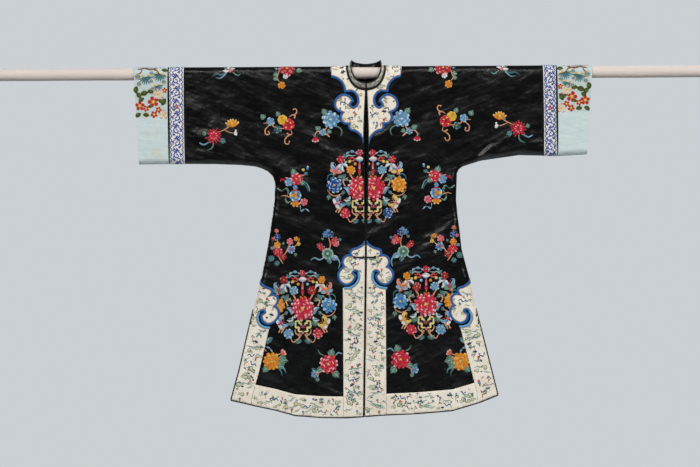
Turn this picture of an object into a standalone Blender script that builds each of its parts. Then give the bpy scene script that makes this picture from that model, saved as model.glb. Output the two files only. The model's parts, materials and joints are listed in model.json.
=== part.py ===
"""A woman's long robe of black satin, hung by its sleeves on a display rod.

The rod's axis is the X axis and the centre front is at X 0. The front of the robe
faces -Y. Left and right are the viewer's, who stands in front of the robe.
Sums and tables are in millimetres, and new_piece turns them into metres.
"""

import math

import bmesh
import bpy
from mathutils import Matrix, Vector
from mathutils.geometry import intersect_line_line_2d

MM = 0.001
GAP = 0.3

# Rod
ROD_RADIUS = 18.0
ROD_LENGTH = 2280.0
ROD_SIDES = 36

# Cloth levels, measured from the middle of the black satin, outwards
SATIN = (-0.9, 0.9)
RIBBON_BAND = (-0.9, 1.4)
CREAM = (1.2, 2.2)
TRIM = (2.5, 3.6)
BINDING = (-1.2, 2.5)
CORD = (2.8, 5.2)
UNDER_BINDING = (-4.0, 2.5)

# The satin lies round the top of the rod in flat facets, clear of it
FOLD_STEP = math.radians(30)
FOLD_RADIUS = (ROD_RADIUS + GAP + 0.9) / math.cos(FOLD_STEP / 2)
FOLD_FACETS = 3

# Widths and heights
BORDER_WIDTH = 60.0
HEM_BORDER = 62.0
TRIM_WIDTH = 6.0
BINDING_WIDTH = 2.4
SLIT_TOP = 706.0
SLIT_START = 720.0
SLIT_RELEASE = 80.0
SLEEVE_SEAM = 335.7
PAST_EDGE = 60.0
PAST_FRONT = 10.0
PAST_HEM = 1090.0
TOOL_REACH = 90.0
STRIP_ROWS = (820.0, 960.0, PAST_HEM)
HEM_CORNER_ROWS = (925.0, 960.0, PAST_HEM)
HEM_CORNER_OUT = 330

# Half the depth of the hollow robe: drop below the rod's axis, half depth
DEPTH = (
    (0, FOLD_RADIUS),
    (60, 19.0),
    (150, 16.5),
    (300, 13.5),
    (600, 12.0),
    (1040, 13.0),
)

# How the front and back come together at a closed edge: distance from it, share of depth
CLOSING = ((0, 0.0), (4, 0.55), (14, 1.0))

# The outline on each side: how far out from the centre and how far down each edge is
SIDE_EDGE = {  # drop, out
    "left": (
        (326, 275), (380, 277), (425, 283), (470, 289), (542, 302),
        (626, 321), (706, 341), (888, 384), (978, 409),
    ),
    "right": (
        (302, 271), (381, 268), (428, 272), (473, 278), (531, 284),
        (622, 308), (706, 324), (819, 352), (968, 389),
    ),
}
UNDER_SLEEVE = {  # out, drop
    "left": (
        (275, 326), (281, 308), (296, 293), (314, 284), (333, 278),
        (380, 273), (454, 270), (546, 269), (683, 270),
    ),
    "right": (
        (271, 302), (277, 290), (289, 281), (311, 274), (344, 264),
        (401, 256), (458, 248), (533, 250), (572, 252), (662, 247),
    ),
}
HEM = {  # out, drop
    "left": ((0, 1029), (66, 1033), (144, 1031), (218, 1026), (276, 1009), (409, 979)),
    "right": ((0, 1029), (36, 1026), (151, 1021), (253, 1014), (340, 987), (389, 968)),
}

# The opening down the centre front: drop, middle of the opening, half its width
CENTRE_FRONT = (
    (47, 0.0, 3.0),
    (110, -0.5, 6.0),
    (192, -1.0, 9.0),
    (366, -2.0, 6.0),
    (516, -3.4, 2.85),
    (560, -3.4, 2.85),
    (1040, -12.0, 2.85),
)

# Inner edges of the front border strips, out from the centre
STRIP_EDGE = {"left": 73.0, "right": 55.5}

# Sleeve stations: out at the rod, out at the lower edge
SLEEVE_ENDS = {
    "left": {"sleeve": (546, 545), "band": (592, 586), "cuff": (696, 683)},
    "right": {"sleeve": (530, 533), "band": (570, 573), "cuff": (678, 662)},
}

# Rows and columns of the body's facets: drops above the armpit, drops below it, shares of
# the last stretch to the hem, distances in from the side seam, and places past the armpit
UPPER_ROWS = (0.0, 35.0, 80.0, 130.0, 185.0, 238.0)
LOWER_ROWS = (360, 410, 465, 530, 600, 660, SLIT_TOP, SLIT_START, 765, 815, 870)
HEM_SHARES = (0.34, 0.62, 1.0)
MIDDLE_COLUMNS = 6
RIM_COLUMNS = (14, 4)
ARMPIT_COLUMNS = {"left": (281, 296, 314, SLEEVE_SEAM), "right": (277, 289, 311, SLEEVE_SEAM)}

SLEEVE_STEPS = 5

# Broad folds in the satin: out and drop where each starts and ends, rise, half width
FOLDS = {
    "left": {
        "front": ((215, 1060, 190, 800, -5.0, 60), (285, 340, 520, 170, 4.0, 45),
                  (330, 1010, 300, 760, 4.0, 55), (120, 1060, 130, 700, 3.0, 60)),
        "back": ((120, 1060, 100, 420, 4.5, 70), (250, 1060, 215, 500, -4.5, 65),
                 (285, 340, 520, 180, 4.0, 45)),
    },
    "right": {
        "front": ((250, 1060, 215, 760, -5.0, 60), (285, 320, 520, 160, 4.0, 45),
                  (330, 1010, 300, 760, 4.0, 55), (130, 1060, 130, 700, 3.0, 60)),
        "back": ((120, 1060, 110, 420, 4.5, 70), (255, 1060, 215, 480, -4.5, 65),
                 (285, 320, 520, 170, 4.0, 45)),
    },
}

# Cloud head at the top of a border, down the middle of its trim:
# out from the edge, height against the tip, bulge of the arc to the next row
CLOUD_HEAD = (
    (-5.0, 4.0, 0.20),
    (34.3, -21.4, -0.56),
    (40.8, -40.8, -0.80),
    (61.6, -74.6, -0.27),
    (80.0, -97.4, -0.375),
    (56.2, -128.7, -0.35),
    (27.3, -101.4, 0.0),
    (36.3, -93.4, 0.65),
    (21.4, -89.5, 0.12),
    (17.4, -105.4, 0.21),
    (32.3, -131.2, 0.20),
    (62.1, -138.2, 0.0),
)
FRONT_TIP = -507.0
SIDE_TIP = -624.0

# Cloud collar, down the middle of its trim: out from the centre, height, bulge
CLOUD_COLLAR = (
    (106.5, 60.0, 0.0),
    (104.0, -11.0, 0.40),
    (63.5, -56.3, 0.0),
    (46.0, -54.0, 0.385),
    (24.5, -84.0, 0.36),
    (38.3, -104.5, 0.27),
    (49.0, -96.0, 0.23),
    (39.8, -85.3, -0.28),
    (64.3, -65.5, -0.42),
    (94.1, -96.0, -0.26),
    (84.2, -113.0, 0.0),
    (70.4, -119.0, -0.70),
    (58.0, -152.7, 0.0),
    (50.5, -152.7, -0.64),
    (36.7, -172.6, 0.18),
    (10.7, -197.0, 0.0),
    (-9.0, -214.0, 0.0),
)

# Neck: the foot and the top of the standing band, from centre front to centre back
NECK = (  # foot x, foot y, foot z, top x, top y, top z
    (2.6, -19.8, -45.6, 2.6, -42.0, -30.0),
    (15.0, -19.8, -44.0, 10.5, -41.6, -29.4),
    (27.5, -19.8, -38.6, 20.5, -40.4, -26.5),
    (38.8, -19.8, -28.0, 31.0, -37.6, -18.5),
    (46.8, -19.8, -13.5, 38.4, -32.5, -5.5),
    (51.6, -19.6, 3.0, 43.0, -25.0, 10.0),
    (53.2, -14.0, 14.6, 44.5, -14.5, 27.0),
    (52.6, -2.0, 19.0, 43.5, -2.0, 38.5),
    (47.8, 8.4, 17.6, 41.0, 8.6, 38.5),
    (36.5, 14.2, 13.3, 32.0, 14.6, 34.0),
    (19.0, 16.4, 10.4, 17.0, 17.4, 31.0),
    (0.0, 16.9, 9.6, 0.0, 18.2, 29.5),
)
NECK_FRONT_ROWS = 8
NECK_EASE = 1.5
FRONT_TOOL_END = 0.7
BACK_TOOL_SHIFT = (0.05, 2.1)
BACK_TOOL_FOOT = 0.5
COLLAR_WALL = 2.0
COLLAR_BINDING = 2.6
COLLAR_BINDING_HEIGHT = 4.7
FOOT_BINDING_WIDTH = 6.0
FOOT_BINDING_RISE = 5.0
FOOT_BINDING_SLOPE = 0.6
FOOT_BINDING_INSET = 0.2
YOKE_REACH = 190.0
YOKE_DROP = 220.0
FOOT_BINDING_DROP = 100.0

# Frog closure
FROG_HEIGHT = -553.0
FROG_REACH = {"left": 41.0, "right": 27.0}
FROG_BAR = 3.0
FROG_KNOB_RADIUS = 3.4
FROG_BUTTON_RADIUS = 3.8
FROG_BUTTON_LIFT = 0.2
KNOB_STEP = 30

ARC_STEP = math.radians(42)
LONGEST_MITRE = 2.0
NEARLY_PARALLEL = 0.05
LEAST_SPREAD = 0.6
FOLD_FADE = 100.0
SIGN = {"left": -1.0, "right": 1.0}
FACING = {"front": -1.0, "back": 1.0}
CELL_MARGIN = 8.0
ON_PLANE = 0.001

# Colours as linear red, green and blue, then roughness
FINISHES = {
    "black_satin": ((0.008, 0.008, 0.010), 0.38),
    "black_binding": ((0.004, 0.004, 0.005), 0.50),
    "cream_silk": ((0.68, 0.61, 0.52), 0.55),
    "ribbon_band": ((0.60, 0.58, 0.56), 0.50),
    "blue_trim": ((0.01, 0.09, 0.45), 0.42),
    "pale_blue_silk": ((0.55, 0.68, 0.68), 0.45),
    "black_cord": ((0.006, 0.006, 0.008), 0.55),
    "muslin": ((0.70, 0.64, 0.60), 0.85),
}


def clear_scene():
    for piece in list(bpy.data.objects):
        bpy.data.objects.remove(piece, do_unlink=True)


def finish(name):
    """The material of that name, made the first time it is asked for."""
    material = bpy.data.materials.get(name)
    if material is None:
        colour, roughness = FINISHES[name]
        material = bpy.data.materials.new(name)
        material.use_nodes = True
        shader = material.node_tree.nodes["Principled BSDF"]
        shader.inputs["Base Color"].default_value = (*colour, 1.0)
        shader.inputs["Roughness"].default_value = roughness
        shader.inputs["Metallic"].default_value = 0.0
    return material


def new_piece(name, bm, finish_name):
    """A bmesh in millimetres made an object in metres."""
    bmesh.ops.scale(bm, vec=(MM, MM, MM), verts=bm.verts)
    mesh = bpy.data.meshes.new(name)
    bm.to_mesh(mesh)
    bm.free()
    piece = bpy.data.objects.new(name, mesh)
    bpy.context.collection.objects.link(piece)
    mesh.materials.append(finish(finish_name))
    return piece


def shape(piece, tool, operation):
    """Cuts a piece with a tool, or keeps what both share, and removes the tool."""
    kept = piece.data.materials[0]
    modifier = piece.modifiers.new(operation.lower(), "BOOLEAN")
    modifier.operation = operation
    modifier.solver = "EXACT"
    modifier.object = tool
    graph = bpy.context.evaluated_depsgraph_get()
    mesh = bpy.data.meshes.new_from_object(piece.evaluated_get(graph))
    piece.modifiers.clear()
    before = piece.data
    piece.data = mesh
    bpy.data.meshes.remove(before)
    mesh.name = piece.name
    mesh.materials.clear()
    mesh.materials.append(kept)
    bpy.data.objects.remove(tool, do_unlink=True)


def between(table, at, column=1):
    """A column of a table at a value of its first column, the ends held."""
    if at <= table[0][0]:
        return table[0][column]
    for low, high in zip(table, table[1:]):
        if at <= high[0]:
            share = (at - low[0]) / (high[0] - low[0])
            return low[column] + share * (high[column] - low[column])
    return table[-1][column]


def to_segment(point, start, end):
    """The distance from a point to a straight run, and the place along it, 0 to 1."""
    run = end - start
    share = max(0.0, min(1.0, (point - start).dot(run) / run.length_squared))
    return (point - start - run * share).length, share


# Middle surface of the cloth


def centre_edge(side, drop):
    """How far out the edge of a front is, which is less than 0 past the centre."""
    middle = between(CENTRE_FRONT, drop, 1)
    return SIGN[side] * middle + between(CENTRE_FRONT, drop, 2)


def closed_edge(side):
    """The under-sleeve and side seam, from the cuff in and down to the slit."""
    under = [Vector(row) for row in reversed(UNDER_SLEEVE[side])]
    seam = [Vector((out, drop)) for drop, out in SIDE_EDGE[side] if drop <= SLIT_TOP]
    return under + seam[1:]


def half_depth(side, face, out, drop):
    """How far the cloth is in front of or behind the robe's middle plane."""
    edge = closed_edge(side)
    place = Vector((out, drop))
    distance = min(to_segment(place, a, b)[0] for a, b in zip(edge, edge[1:]))
    closing = between(CLOSING, distance)
    if drop > SLIT_TOP:
        rim = between(CLOSING, between(SIDE_EDGE[side], drop) - out)
        release = math.sqrt(min(1.0, (drop - SLIT_TOP) / SLIT_RELEASE))
        closing = min(1.0, rim + release)
    depth = between(DEPTH, drop)
    for out_0, drop_0, out_1, drop_1, rise, half_width in FOLDS[side][face]:
        away, share = to_segment(place, Vector((out_0, drop_0)), Vector((out_1, drop_1)))
        ridge = max(0.0, 1 - (away / half_width) ** 2) ** 2
        depth += rise * ridge * (1 - share ** 2) * min(1.0, drop / FOLD_FADE)
    return depth * closing


class Panel:
    """The middle surface of a cloth piece: named points, and triangles facing out."""

    def __init__(self):
        self.points = {}
        self.cells = []

    def add_cell(self, a, b, c, d):
        corners = []
        for key in (a, b, c, d):
            if key not in corners:
                corners.append(key)
        for i in range(1, len(corners) - 1):
            self.cells.append((corners[0], corners[i], corners[i + 1]))

    def cell_normal(self, cell):
        a, b, c = (self.points[key] for key in cell)
        return (b - a).cross(c - a).normalized()

    def directions(self):
        """The way out at each point, long enough to keep walls at their full thickness."""
        around = {key: [] for key in self.points}
        for cell in self.cells:
            normal = self.cell_normal(cell)
            for i, key in enumerate(cell):
                here = self.points[key]
                one = self.points[cell[i - 1]] - here
                two = self.points[cell[(i + 1) % 3]] - here
                around[key].append((normal, one.angle(two)))
        ways = {}
        for key, normals in around.items():
            if normals:
                way = sum((normal * angle for normal, angle in normals), Vector()).normalized()
                least = min(way.dot(normal) for normal, _ in normals)
                ways[key] = way / max(LEAST_SPREAD, least)
        return ways


def thickened(panel, levels, cells=None, parting=0.0):
    """A closed solid between two levels over a panel's cells.

    Points on the robe's middle plane are moved by the parting, so that a front and a back
    stand that far clear of it at their seams.
    """
    cells = panel.cells if cells is None else cells
    ways = panel.directions()
    bm = bmesh.new()
    low, high = {}, {}
    for cell in cells:
        for key in cell:
            if key not in low:
                point = panel.points[key].copy()
                if abs(point.y) < ON_PLANE:
                    point.y += parting
                low[key] = bm.verts.new(point + ways[key] * levels[0])
                high[key] = bm.verts.new(point + ways[key] * levels[1])
    edges = set()
    for cell in cells:
        bm.faces.new([high[key] for key in cell])
        bm.faces.new([low[key] for key in reversed(cell)])
        edges.update((cell[i], cell[(i + 1) % 3]) for i in range(3))
    for a, b in sorted(edges, key=str):
        if (b, a) not in edges:
            bm.faces.new((high[b], high[a], low[a], low[b]))
    return bm


def rows_down(side):
    """The heights of a front or back, as shares of the armpit's drop, then as drops."""
    armpit = SIDE_EDGE[side][0][0]
    shares = [drop / armpit for drop in UPPER_ROWS]
    shares += [1 - rim / armpit for rim in RIM_COLUMNS] + [1.0]
    return shares, LOWER_ROWS


def column_out(side, face, column, drop):
    """How far out a column of the body is at some height."""
    start = centre_edge(side, drop) if face == "front" else GAP / 2
    end = between(SIDE_EDGE[side], drop)
    if column < MIDDLE_COLUMNS:
        return start + (end - RIM_COLUMNS[0] - start) * column / (MIDDLE_COLUMNS - 1)
    return end - RIM_COLUMNS[1] if column == MIDDLE_COLUMNS else end


def body_panel(side):
    """Half the body: front and back in one length over the rod."""
    panel = Panel()
    sign = SIGN[side]
    shares, lower = rows_down(side)
    seam_column = MIDDLE_COLUMNS + 1
    armpit_row = len(shares) - 1
    columns = seam_column + 1 + len(ARMPIT_COLUMNS[side])
    slit_row = armpit_row + 1 + lower.index(SLIT_TOP)
    last_row = armpit_row + len(lower) + len(HEM_SHARES)

    def place(face, row, column):
        if column > seam_column:
            out = ARMPIT_COLUMNS[side][column - seam_column - 1]
            return out, shares[row] * between(UNDER_SLEEVE[side], out)
        if row <= armpit_row:
            drop = shares[row] * SIDE_EDGE[side][0][0]
            return column_out(side, face, column, drop), drop
        if row <= armpit_row + len(lower):
            drop = lower[row - armpit_row - 1]
            return column_out(side, face, column, drop), drop
        share = HEM_SHARES[row - armpit_row - len(lower) - 1]
        out = column_out(side, face, column, lower[-1])
        for _ in range(4):
            drop = lower[-1] + share * (between(HEM[side], out) - lower[-1])
            out = column_out(side, face, column, drop)
        return out, drop

    def key(face, row, column):
        on_under = row == armpit_row and column >= seam_column
        on_seam = column == seam_column and armpit_row <= row <= slit_row
        face = "seam" if on_under or on_seam else face
        return face, row, column

    for face, facing in FACING.items():
        for row in range(last_row + 1):
            for column in range(columns if row <= armpit_row else seam_column + 1):
                out, drop = place(face, row, column)
                depth = half_depth(side, face, out, drop)
                panel.points[key(face, row, column)] = Vector((sign * out, facing * depth, -drop))
        for row in range(last_row):
            for column in range(columns - 1 if row < armpit_row else seam_column):
                cell = [
                    key(face, row, column),
                    key(face, row + 1, column),
                    key(face, row + 1, column + 1),
                    key(face, row, column + 1),
                ]
                panel.add_cell(*(cell if facing * sign < 0 else reversed(cell)))
    add_fold(panel, columns, key, sign)
    panel.rows = {"last": last_row, "slit": slit_row, "seam_column": seam_column}
    panel.key = key
    return panel


def add_fold(panel, columns, key, sign):
    """The part of a panel that lies over the rod, from front to back."""
    for column in range(columns):
        front_x = panel.points[key("front", 0, column)].x
        back_x = panel.points[key("back", 0, column)].x
        for step in range(1, 2 * FOLD_FACETS):
            angle = FOLD_STEP * step
            x = front_x + (back_x - front_x) * step / (2 * FOLD_FACETS)
            y = -FOLD_RADIUS * math.cos(angle)
            z = FOLD_RADIUS * math.sin(angle)
            panel.points["fold", step, column] = Vector((x, y, z))
    names = [lambda c: key("front", 0, c)]
    names += [lambda c, s=s: ("fold", s, c) for s in range(1, 2 * FOLD_FACETS)]
    names += [lambda c: key("back", 0, c)]
    for lower, upper in zip(names, names[1:]):
        for column in range(columns - 1):
            cell = [lower(column), lower(column + 1), upper(column + 1), upper(column)]
            panel.add_cell(*(cell if sign > 0 else reversed(cell)))


def tube_panel(side, stations):
    """A stretch of sleeve all round the rod: stations are out at the rod, out below."""
    panel = Panel()
    sign = SIGN[side]
    shares, _ = rows_down(side)
    last = len(shares) - 1

    def key(face, row, column):
        return ("seam" if row == last else face), row, column

    for face, facing in FACING.items():
        for column, (above, below) in enumerate(stations):
            foot = between(UNDER_SLEEVE[side], below)
            for row, share in enumerate(shares):
                out = above + (below - above) * share
                drop = share * foot
                depth = half_depth(side, face, out, drop) if row < last else 0.0
                panel.points[key(face, row, column)] = Vector((sign * out, facing * depth, -drop))
        for row in range(last):
            for column in range(len(stations) - 1):
                cell = [
                    key(face, row, column),
                    key(face, row + 1, column),
                    key(face, row + 1, column + 1),
                    key(face, row, column + 1),
                ]
                panel.add_cell(*(cell if facing * sign < 0 else reversed(cell)))
    add_fold(panel, len(stations), key, sign)
    return panel


# Outlines


def arc(start, end, bulge):
    """Points from start to end on an arc that rises bulge times half the chord."""
    if not bulge:
        return [start, end]
    chord = end - start
    turn = 4 * math.atan(bulge)
    across = Vector((-chord.y, chord.x))
    centre = (start + end) / 2 + across * (1 - bulge ** 2) / (4 * bulge)
    steps = max(2, math.ceil(abs(turn) / ARC_STEP))
    spoke = start - centre
    points = [start]
    for step in range(1, steps):
        angle = turn * step / steps
        cos, sin = math.cos(angle), math.sin(angle)
        turned = Vector((spoke.x * cos - spoke.y * sin, spoke.x * sin + spoke.y * cos))
        points.append(centre + turned)
    return points + [end]


def runs_of(rows):
    """The arcs and straight runs of an outline table."""
    return [
        arc(Vector(row[:2]), Vector(after[:2]), row[2])
        for row, after in zip(rows, rows[1:])
    ]


def chained(runs):
    return runs[0] + [point for run in runs[1:] for point in run[1:]]


def beside(points, distance):
    """A run moved sideways, to the left of its way for a positive distance."""
    moved = []
    for i, point in enumerate(points):
        way = points[min(i + 1, len(points) - 1)] - points[max(i - 1, 0)]
        way.normalize()
        moved.append(point + Vector((-way.y, way.x)) * distance)
    return moved


def meeting(a, b, c, d):
    """Where the straight lines through a, b and c, d cross."""
    one, two = b - a, d - c
    spread = one.x * two.y - one.y * two.x
    if abs(spread) < NEARLY_PARALLEL * one.length * two.length:
        return None
    share = ((c.x - a.x) * two.y - (c.y - a.y) * two.x) / spread
    return a + one * share


def joined(first, second):
    """Two moved runs, cut where they cross or carried on to their corner."""
    if (first[-1] - second[0]).length < GAP:
        return first + second[1:]
    for i in range(len(first) - 1, 0, -1):
        for j in range(len(second) - 1):
            crossing = intersect_line_line_2d(first[i - 1], first[i], second[j], second[j + 1])
            if crossing:
                return first[:i] + [crossing] + second[j + 1:]
    corner = meeting(first[-2], first[-1], second[0], second[1])
    reach = LONGEST_MITRE * (first[-1] - second[0]).length
    if corner and (corner - first[-1]).length < reach:
        return first + [corner] + second
    return first + second


def ribbon(runs, width):
    """The outline of a ribbon laid along some runs."""
    sides = []
    for distance in (width / 2, -width / 2):
        moved = [beside(run, distance) for run in runs]
        line = moved[0]
        for run in moved[1:]:
            line = joined(line, run)
        sides.append(line)
    return sides[0] + sides[1][::-1]


def prism(points, near, far):
    """An upright outline in X and Z, drawn out in Y from near to far."""
    bm = bmesh.new()
    base = bm.faces.new([bm.verts.new((point.x, near, point.y)) for point in points])
    drawn = bmesh.ops.extrude_face_region(bm, geom=[base])
    ends = [item for item in drawn["geom"] if isinstance(item, bmesh.types.BMVert)]
    bmesh.ops.translate(bm, vec=(0, far - near, 0), verts=ends)
    bmesh.ops.recalc_face_normals(bm, faces=bm.faces)
    return new_piece("tool", bm, "black_cord")


def overlay(name, panel, levels, outline, face, finish_name):
    """A piece laid on a panel: the panel's own points moved out, cut to an outline."""
    low_x = min(point.x for point in outline) - CELL_MARGIN
    high_x = max(point.x for point in outline) + CELL_MARGIN
    low_z = min(point.y for point in outline) - CELL_MARGIN
    high_z = max(point.y for point in outline) + CELL_MARGIN
    facing = FACING[face]

    def near(cell):
        corners = [panel.points[key] for key in cell]
        return (
            max(corner.x for corner in corners) > low_x
            and min(corner.x for corner in corners) < high_x
            and max(corner.z for corner in corners) > low_z
            and min(corner.z for corner in corners) < high_z
            and max(facing * corner.y for corner in corners) > 0
        )

    cells = [cell for cell in panel.cells if near(cell)]
    piece = new_piece(name, thickened(panel, levels, cells), finish_name)
    shape(piece, prism(outline, facing * GAP / 2, facing * TOOL_REACH), "INTERSECT")


def side_place(side, point):
    """A cloud head's point, measured in from the side edge."""
    edge = between(SIDE_EDGE[side], -(SIDE_TIP + point.y))
    return Vector((SIGN[side] * (edge - point.x), SIDE_TIP + point.y))


def front_place(side, point):
    """A cloud head's point, measured out from the front edge."""
    edge = centre_edge(side, -(FRONT_TIP + point.y))
    return Vector((SIGN[side] * (edge + point.x), FRONT_TIP + point.y))


# Pieces


def make_rod():
    bm = bmesh.new()
    bmesh.ops.create_cone(
        bm,
        cap_ends=True,
        segments=ROD_SIDES,
        radius1=ROD_RADIUS,
        radius2=ROD_RADIUS,
        depth=ROD_LENGTH,
    )
    bmesh.ops.rotate(bm, verts=bm.verts, matrix=Matrix.Rotation(math.radians(90), 3, "Y"))
    return new_piece("rod", bm, "muslin")


def neck_tools():
    """The two prisms that open the neck: one from the front, one from above."""
    front = [Vector((row[0], row[2])) for row in NECK[:NECK_FRONT_ROWS]]
    front = beside(front, -NECK_EASE)
    front[0].x = 0.0
    front.append(Vector((front[-1].x, TOOL_REACH)))
    front += [Vector((-point.x, point.y)) for point in reversed(front[1:])]
    back = [Vector((row[0], row[1])) for row in NECK[NECK_FRONT_ROWS - 1:]]
    back = beside(back, -NECK_EASE)
    back[0] = Vector((front[NECK_FRONT_ROWS - 1].x - BACK_TOOL_SHIFT[0], -BACK_TOOL_SHIFT[1]))
    back[-1].x = 0.0
    back += [Vector((-point.x, point.y)) for point in reversed(back[:-1])]
    bm = bmesh.new()
    base = bm.faces.new([bm.verts.new((point.x, point.y, BACK_TOOL_FOOT)) for point in back])
    drawn = bmesh.ops.extrude_face_region(bm, geom=[base])
    ends = [item for item in drawn["geom"] if isinstance(item, bmesh.types.BMVert)]
    bmesh.ops.translate(bm, vec=(0, 0, TOOL_REACH), verts=ends)
    bmesh.ops.recalc_face_normals(bm, faces=bm.faces)
    return prism(front, -TOOL_REACH, FRONT_TOOL_END), new_piece("tool", bm, "black_cord")


def open_neck(piece):
    for tool in neck_tools():
        shape(piece, tool, "DIFFERENCE")


def make_body(side, panel):
    """The front and the back of one length of satin, parted along the top of the rod."""
    for face, facing in FACING.items():
        cells = [
            cell
            for cell in panel.cells
            if all(facing * panel.points[key].y > -ON_PLANE for key in cell)
        ]
        bm = thickened(panel, SATIN, cells, facing * GAP / 2)
        open_neck(new_piece(f"body_{face}_{side}", bm, "black_satin"))


def make_sleeve(side):
    ends = SLEEVE_ENDS[side]
    seam = SLEEVE_SEAM + GAP
    sleeve_end, band_end, cuff_end = ends["sleeve"], ends["band"], ends["cuff"]
    stations = [(seam, seam)]
    for step in range(1, SLEEVE_STEPS + 1):
        share = step / SLEEVE_STEPS
        stations.append(tuple(seam + share * (end - seam) for end in sleeve_end))
    bm = thickened(tube_panel(side, stations), SATIN)
    new_piece(f"sleeve_{side}", bm, "black_satin")
    band_start = tuple(out + GAP for out in sleeve_end)
    bm = thickened(tube_panel(side, [band_start, band_end]), RIBBON_BAND)
    new_piece(f"band_{side}", bm, "ribbon_band")
    cuff_start = tuple(out + GAP for out in band_end)
    middle = tuple((a + b) / 2 for a, b in zip(cuff_start, cuff_end))
    bm = thickened(tube_panel(side, [cuff_start, middle, cuff_end]), SATIN)
    new_piece(f"cuff_{side}", bm, "pale_blue_silk")


def make_cloud_collar(side, panel):
    """The cream yoke over one shoulder, and the blue ribbon on its edge."""
    sign = SIGN[side]
    runs = runs_of(CLOUD_COLLAR)
    cream = chained(runs) + [Vector((-9.0, 60.0))]
    blue = ribbon(runs, TRIM_WIDTH)
    for name, levels, outline, finish_name in (
        (f"cloud_collar_{side}", CREAM, cream, "cream_silk"),
        (f"cloud_trim_{side}", TRIM, blue, "blue_trim"),
    ):
        placed = [Vector((sign * point.x, point.y)) for point in outline]
        bm = thickened(panel, levels, yoke_cells(panel, YOKE_DROP))
        piece = new_piece(name, bm, finish_name)
        shape(piece, prism(placed, -TOOL_REACH, TOOL_REACH), "INTERSECT")
        if levels == CREAM:
            open_neck(piece)


def border_outline(side, place, strip):
    """A cloud head with its strip below: the head's cream, and its trim."""
    runs = runs_of(CLOUD_HEAD)
    head = [place(side, point) for point in chained(runs)]
    blue = [place(side, point) for point in ribbon(runs, TRIM_WIDTH)]
    return head[:-1] + strip, blue


def strip_below(side, edge, top, beyond):
    """The inner edge of a strip down past the hem, then back up outside the cloth."""
    drops = (top,) + STRIP_ROWS
    inner = [Vector((SIGN[side] * edge(drop), -drop)) for drop in drops]
    outer = [Vector((SIGN[side] * beyond(drop), -drop)) for drop in reversed(drops)]
    return inner + outer


def make_front_border(side, panel):
    drop = -(FRONT_TIP + CLOUD_HEAD[-1][1])
    strip = strip_below(
        side,
        lambda _: STRIP_EDGE[side],
        drop,
        lambda low: centre_edge(side, low) - PAST_FRONT,
    )
    cream, blue = border_outline(side, front_place, strip)
    cream.append(Vector((cream[-1].x, cream[0].y)))
    overlay(f"front_border_{side}", panel, CREAM, cream, "front", "cream_silk")
    overlay(f"front_trim_{side}", panel, TRIM, blue, "front", "blue_trim")


def make_side_border(side, panel):
    drop = -(SIDE_TIP + CLOUD_HEAD[-1][1])
    strip = strip_below(
        side,
        lambda low: between(SIDE_EDGE[side], low) - BORDER_WIDTH,
        drop,
        lambda low: between(SIDE_EDGE[side], low) + PAST_EDGE,
    )
    cream, blue = border_outline(side, side_place, strip)
    cream.append(Vector((cream[-1].x, cream[0].y)))
    for face in ("front", "back"):
        name = f"side_border_{face}_{side}"
        overlay(name, panel, CREAM, cream, face, "cream_silk")
        overlay(f"side_trim_{face}_{side}", panel, TRIM, blue, face, "blue_trim")


def make_hem_border(side, panel):
    """The cream strip along the hem, between the strips at its two ends."""
    sign = SIGN[side]
    for face in ("front", "back"):
        start = STRIP_EDGE[side] + GAP if face == "front" else -PAST_EDGE
        places = [start] + [out for out, _ in HEM[side] if start < out < HEM_CORNER_OUT]
        top = [Vector((sign * out, HEM_BORDER - between(HEM[side], out))) for out in places]
        inner = [
            Vector((sign * (between(SIDE_EDGE[side], drop) - BORDER_WIDTH - GAP), -drop))
            for drop in HEM_CORNER_ROWS
        ]
        outline = top + inner + [Vector((sign * start, -PAST_HEM))]
        overlay(f"hem_border_{face}_{side}", panel, CREAM, outline, face, "cream_silk")


def edge_sweep(name, panel, path, hand, finish_name):
    """A binding just past the edge of a panel, to the right of a path for a hand of 1."""
    ways = panel.directions()
    bm = bmesh.new()
    rings = []
    for i, key in enumerate(path):
        here = panel.points[key]
        up = ways[key].normalized()
        before = here - panel.points[path[i - 1]] if i else None
        after = panel.points[path[i + 1]] - here if i + 1 < len(path) else None
        outs = [hand * way.cross(up).normalized() for way in (before, after) if way is not None]
        out = sum(outs, Vector()).normalized()
        out = out / max(LEAST_SPREAD, out.dot(outs[0]))
        ring = [
            here + out * across + up * level
            for across, level in (
                (GAP, BINDING[0]),
                (GAP + BINDING_WIDTH, BINDING[0]),
                (GAP + BINDING_WIDTH, BINDING[1]),
                (GAP, BINDING[1]),
            )
        ]
        rings.append([bm.verts.new(point) for point in ring])
    join_rings(bm, rings)
    new_piece(name, bm, finish_name)


def join_rings(bm, rings):
    """Faces round a run of sections, with a cap at each end."""
    for one, two in zip(rings, rings[1:]):
        for i in range(len(one)):
            j = (i + 1) % len(one)
            bm.faces.new((one[i], one[j], two[j], two[i]))
    bm.faces.new(rings[0][::-1])
    bm.faces.new(rings[-1])
    bmesh.ops.recalc_face_normals(bm, faces=bm.faces)
    bmesh.ops.triangulate(bm, faces=bm.faces)


def front_binding_path(panel):
    """Edge points of a front: down the centre, along the hem and up the slit."""
    last, slit, seam = (panel.rows[name] for name in ("last", "slit", "seam_column"))
    down = [("front", row, 0) for row in range(last) if panel.points["front", row, 0].z < -50]
    along = [("front", last, column) for column in range(seam)]
    up = [("front", row, seam) for row in range(last, slit, -1)]
    return down + along + up


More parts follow.
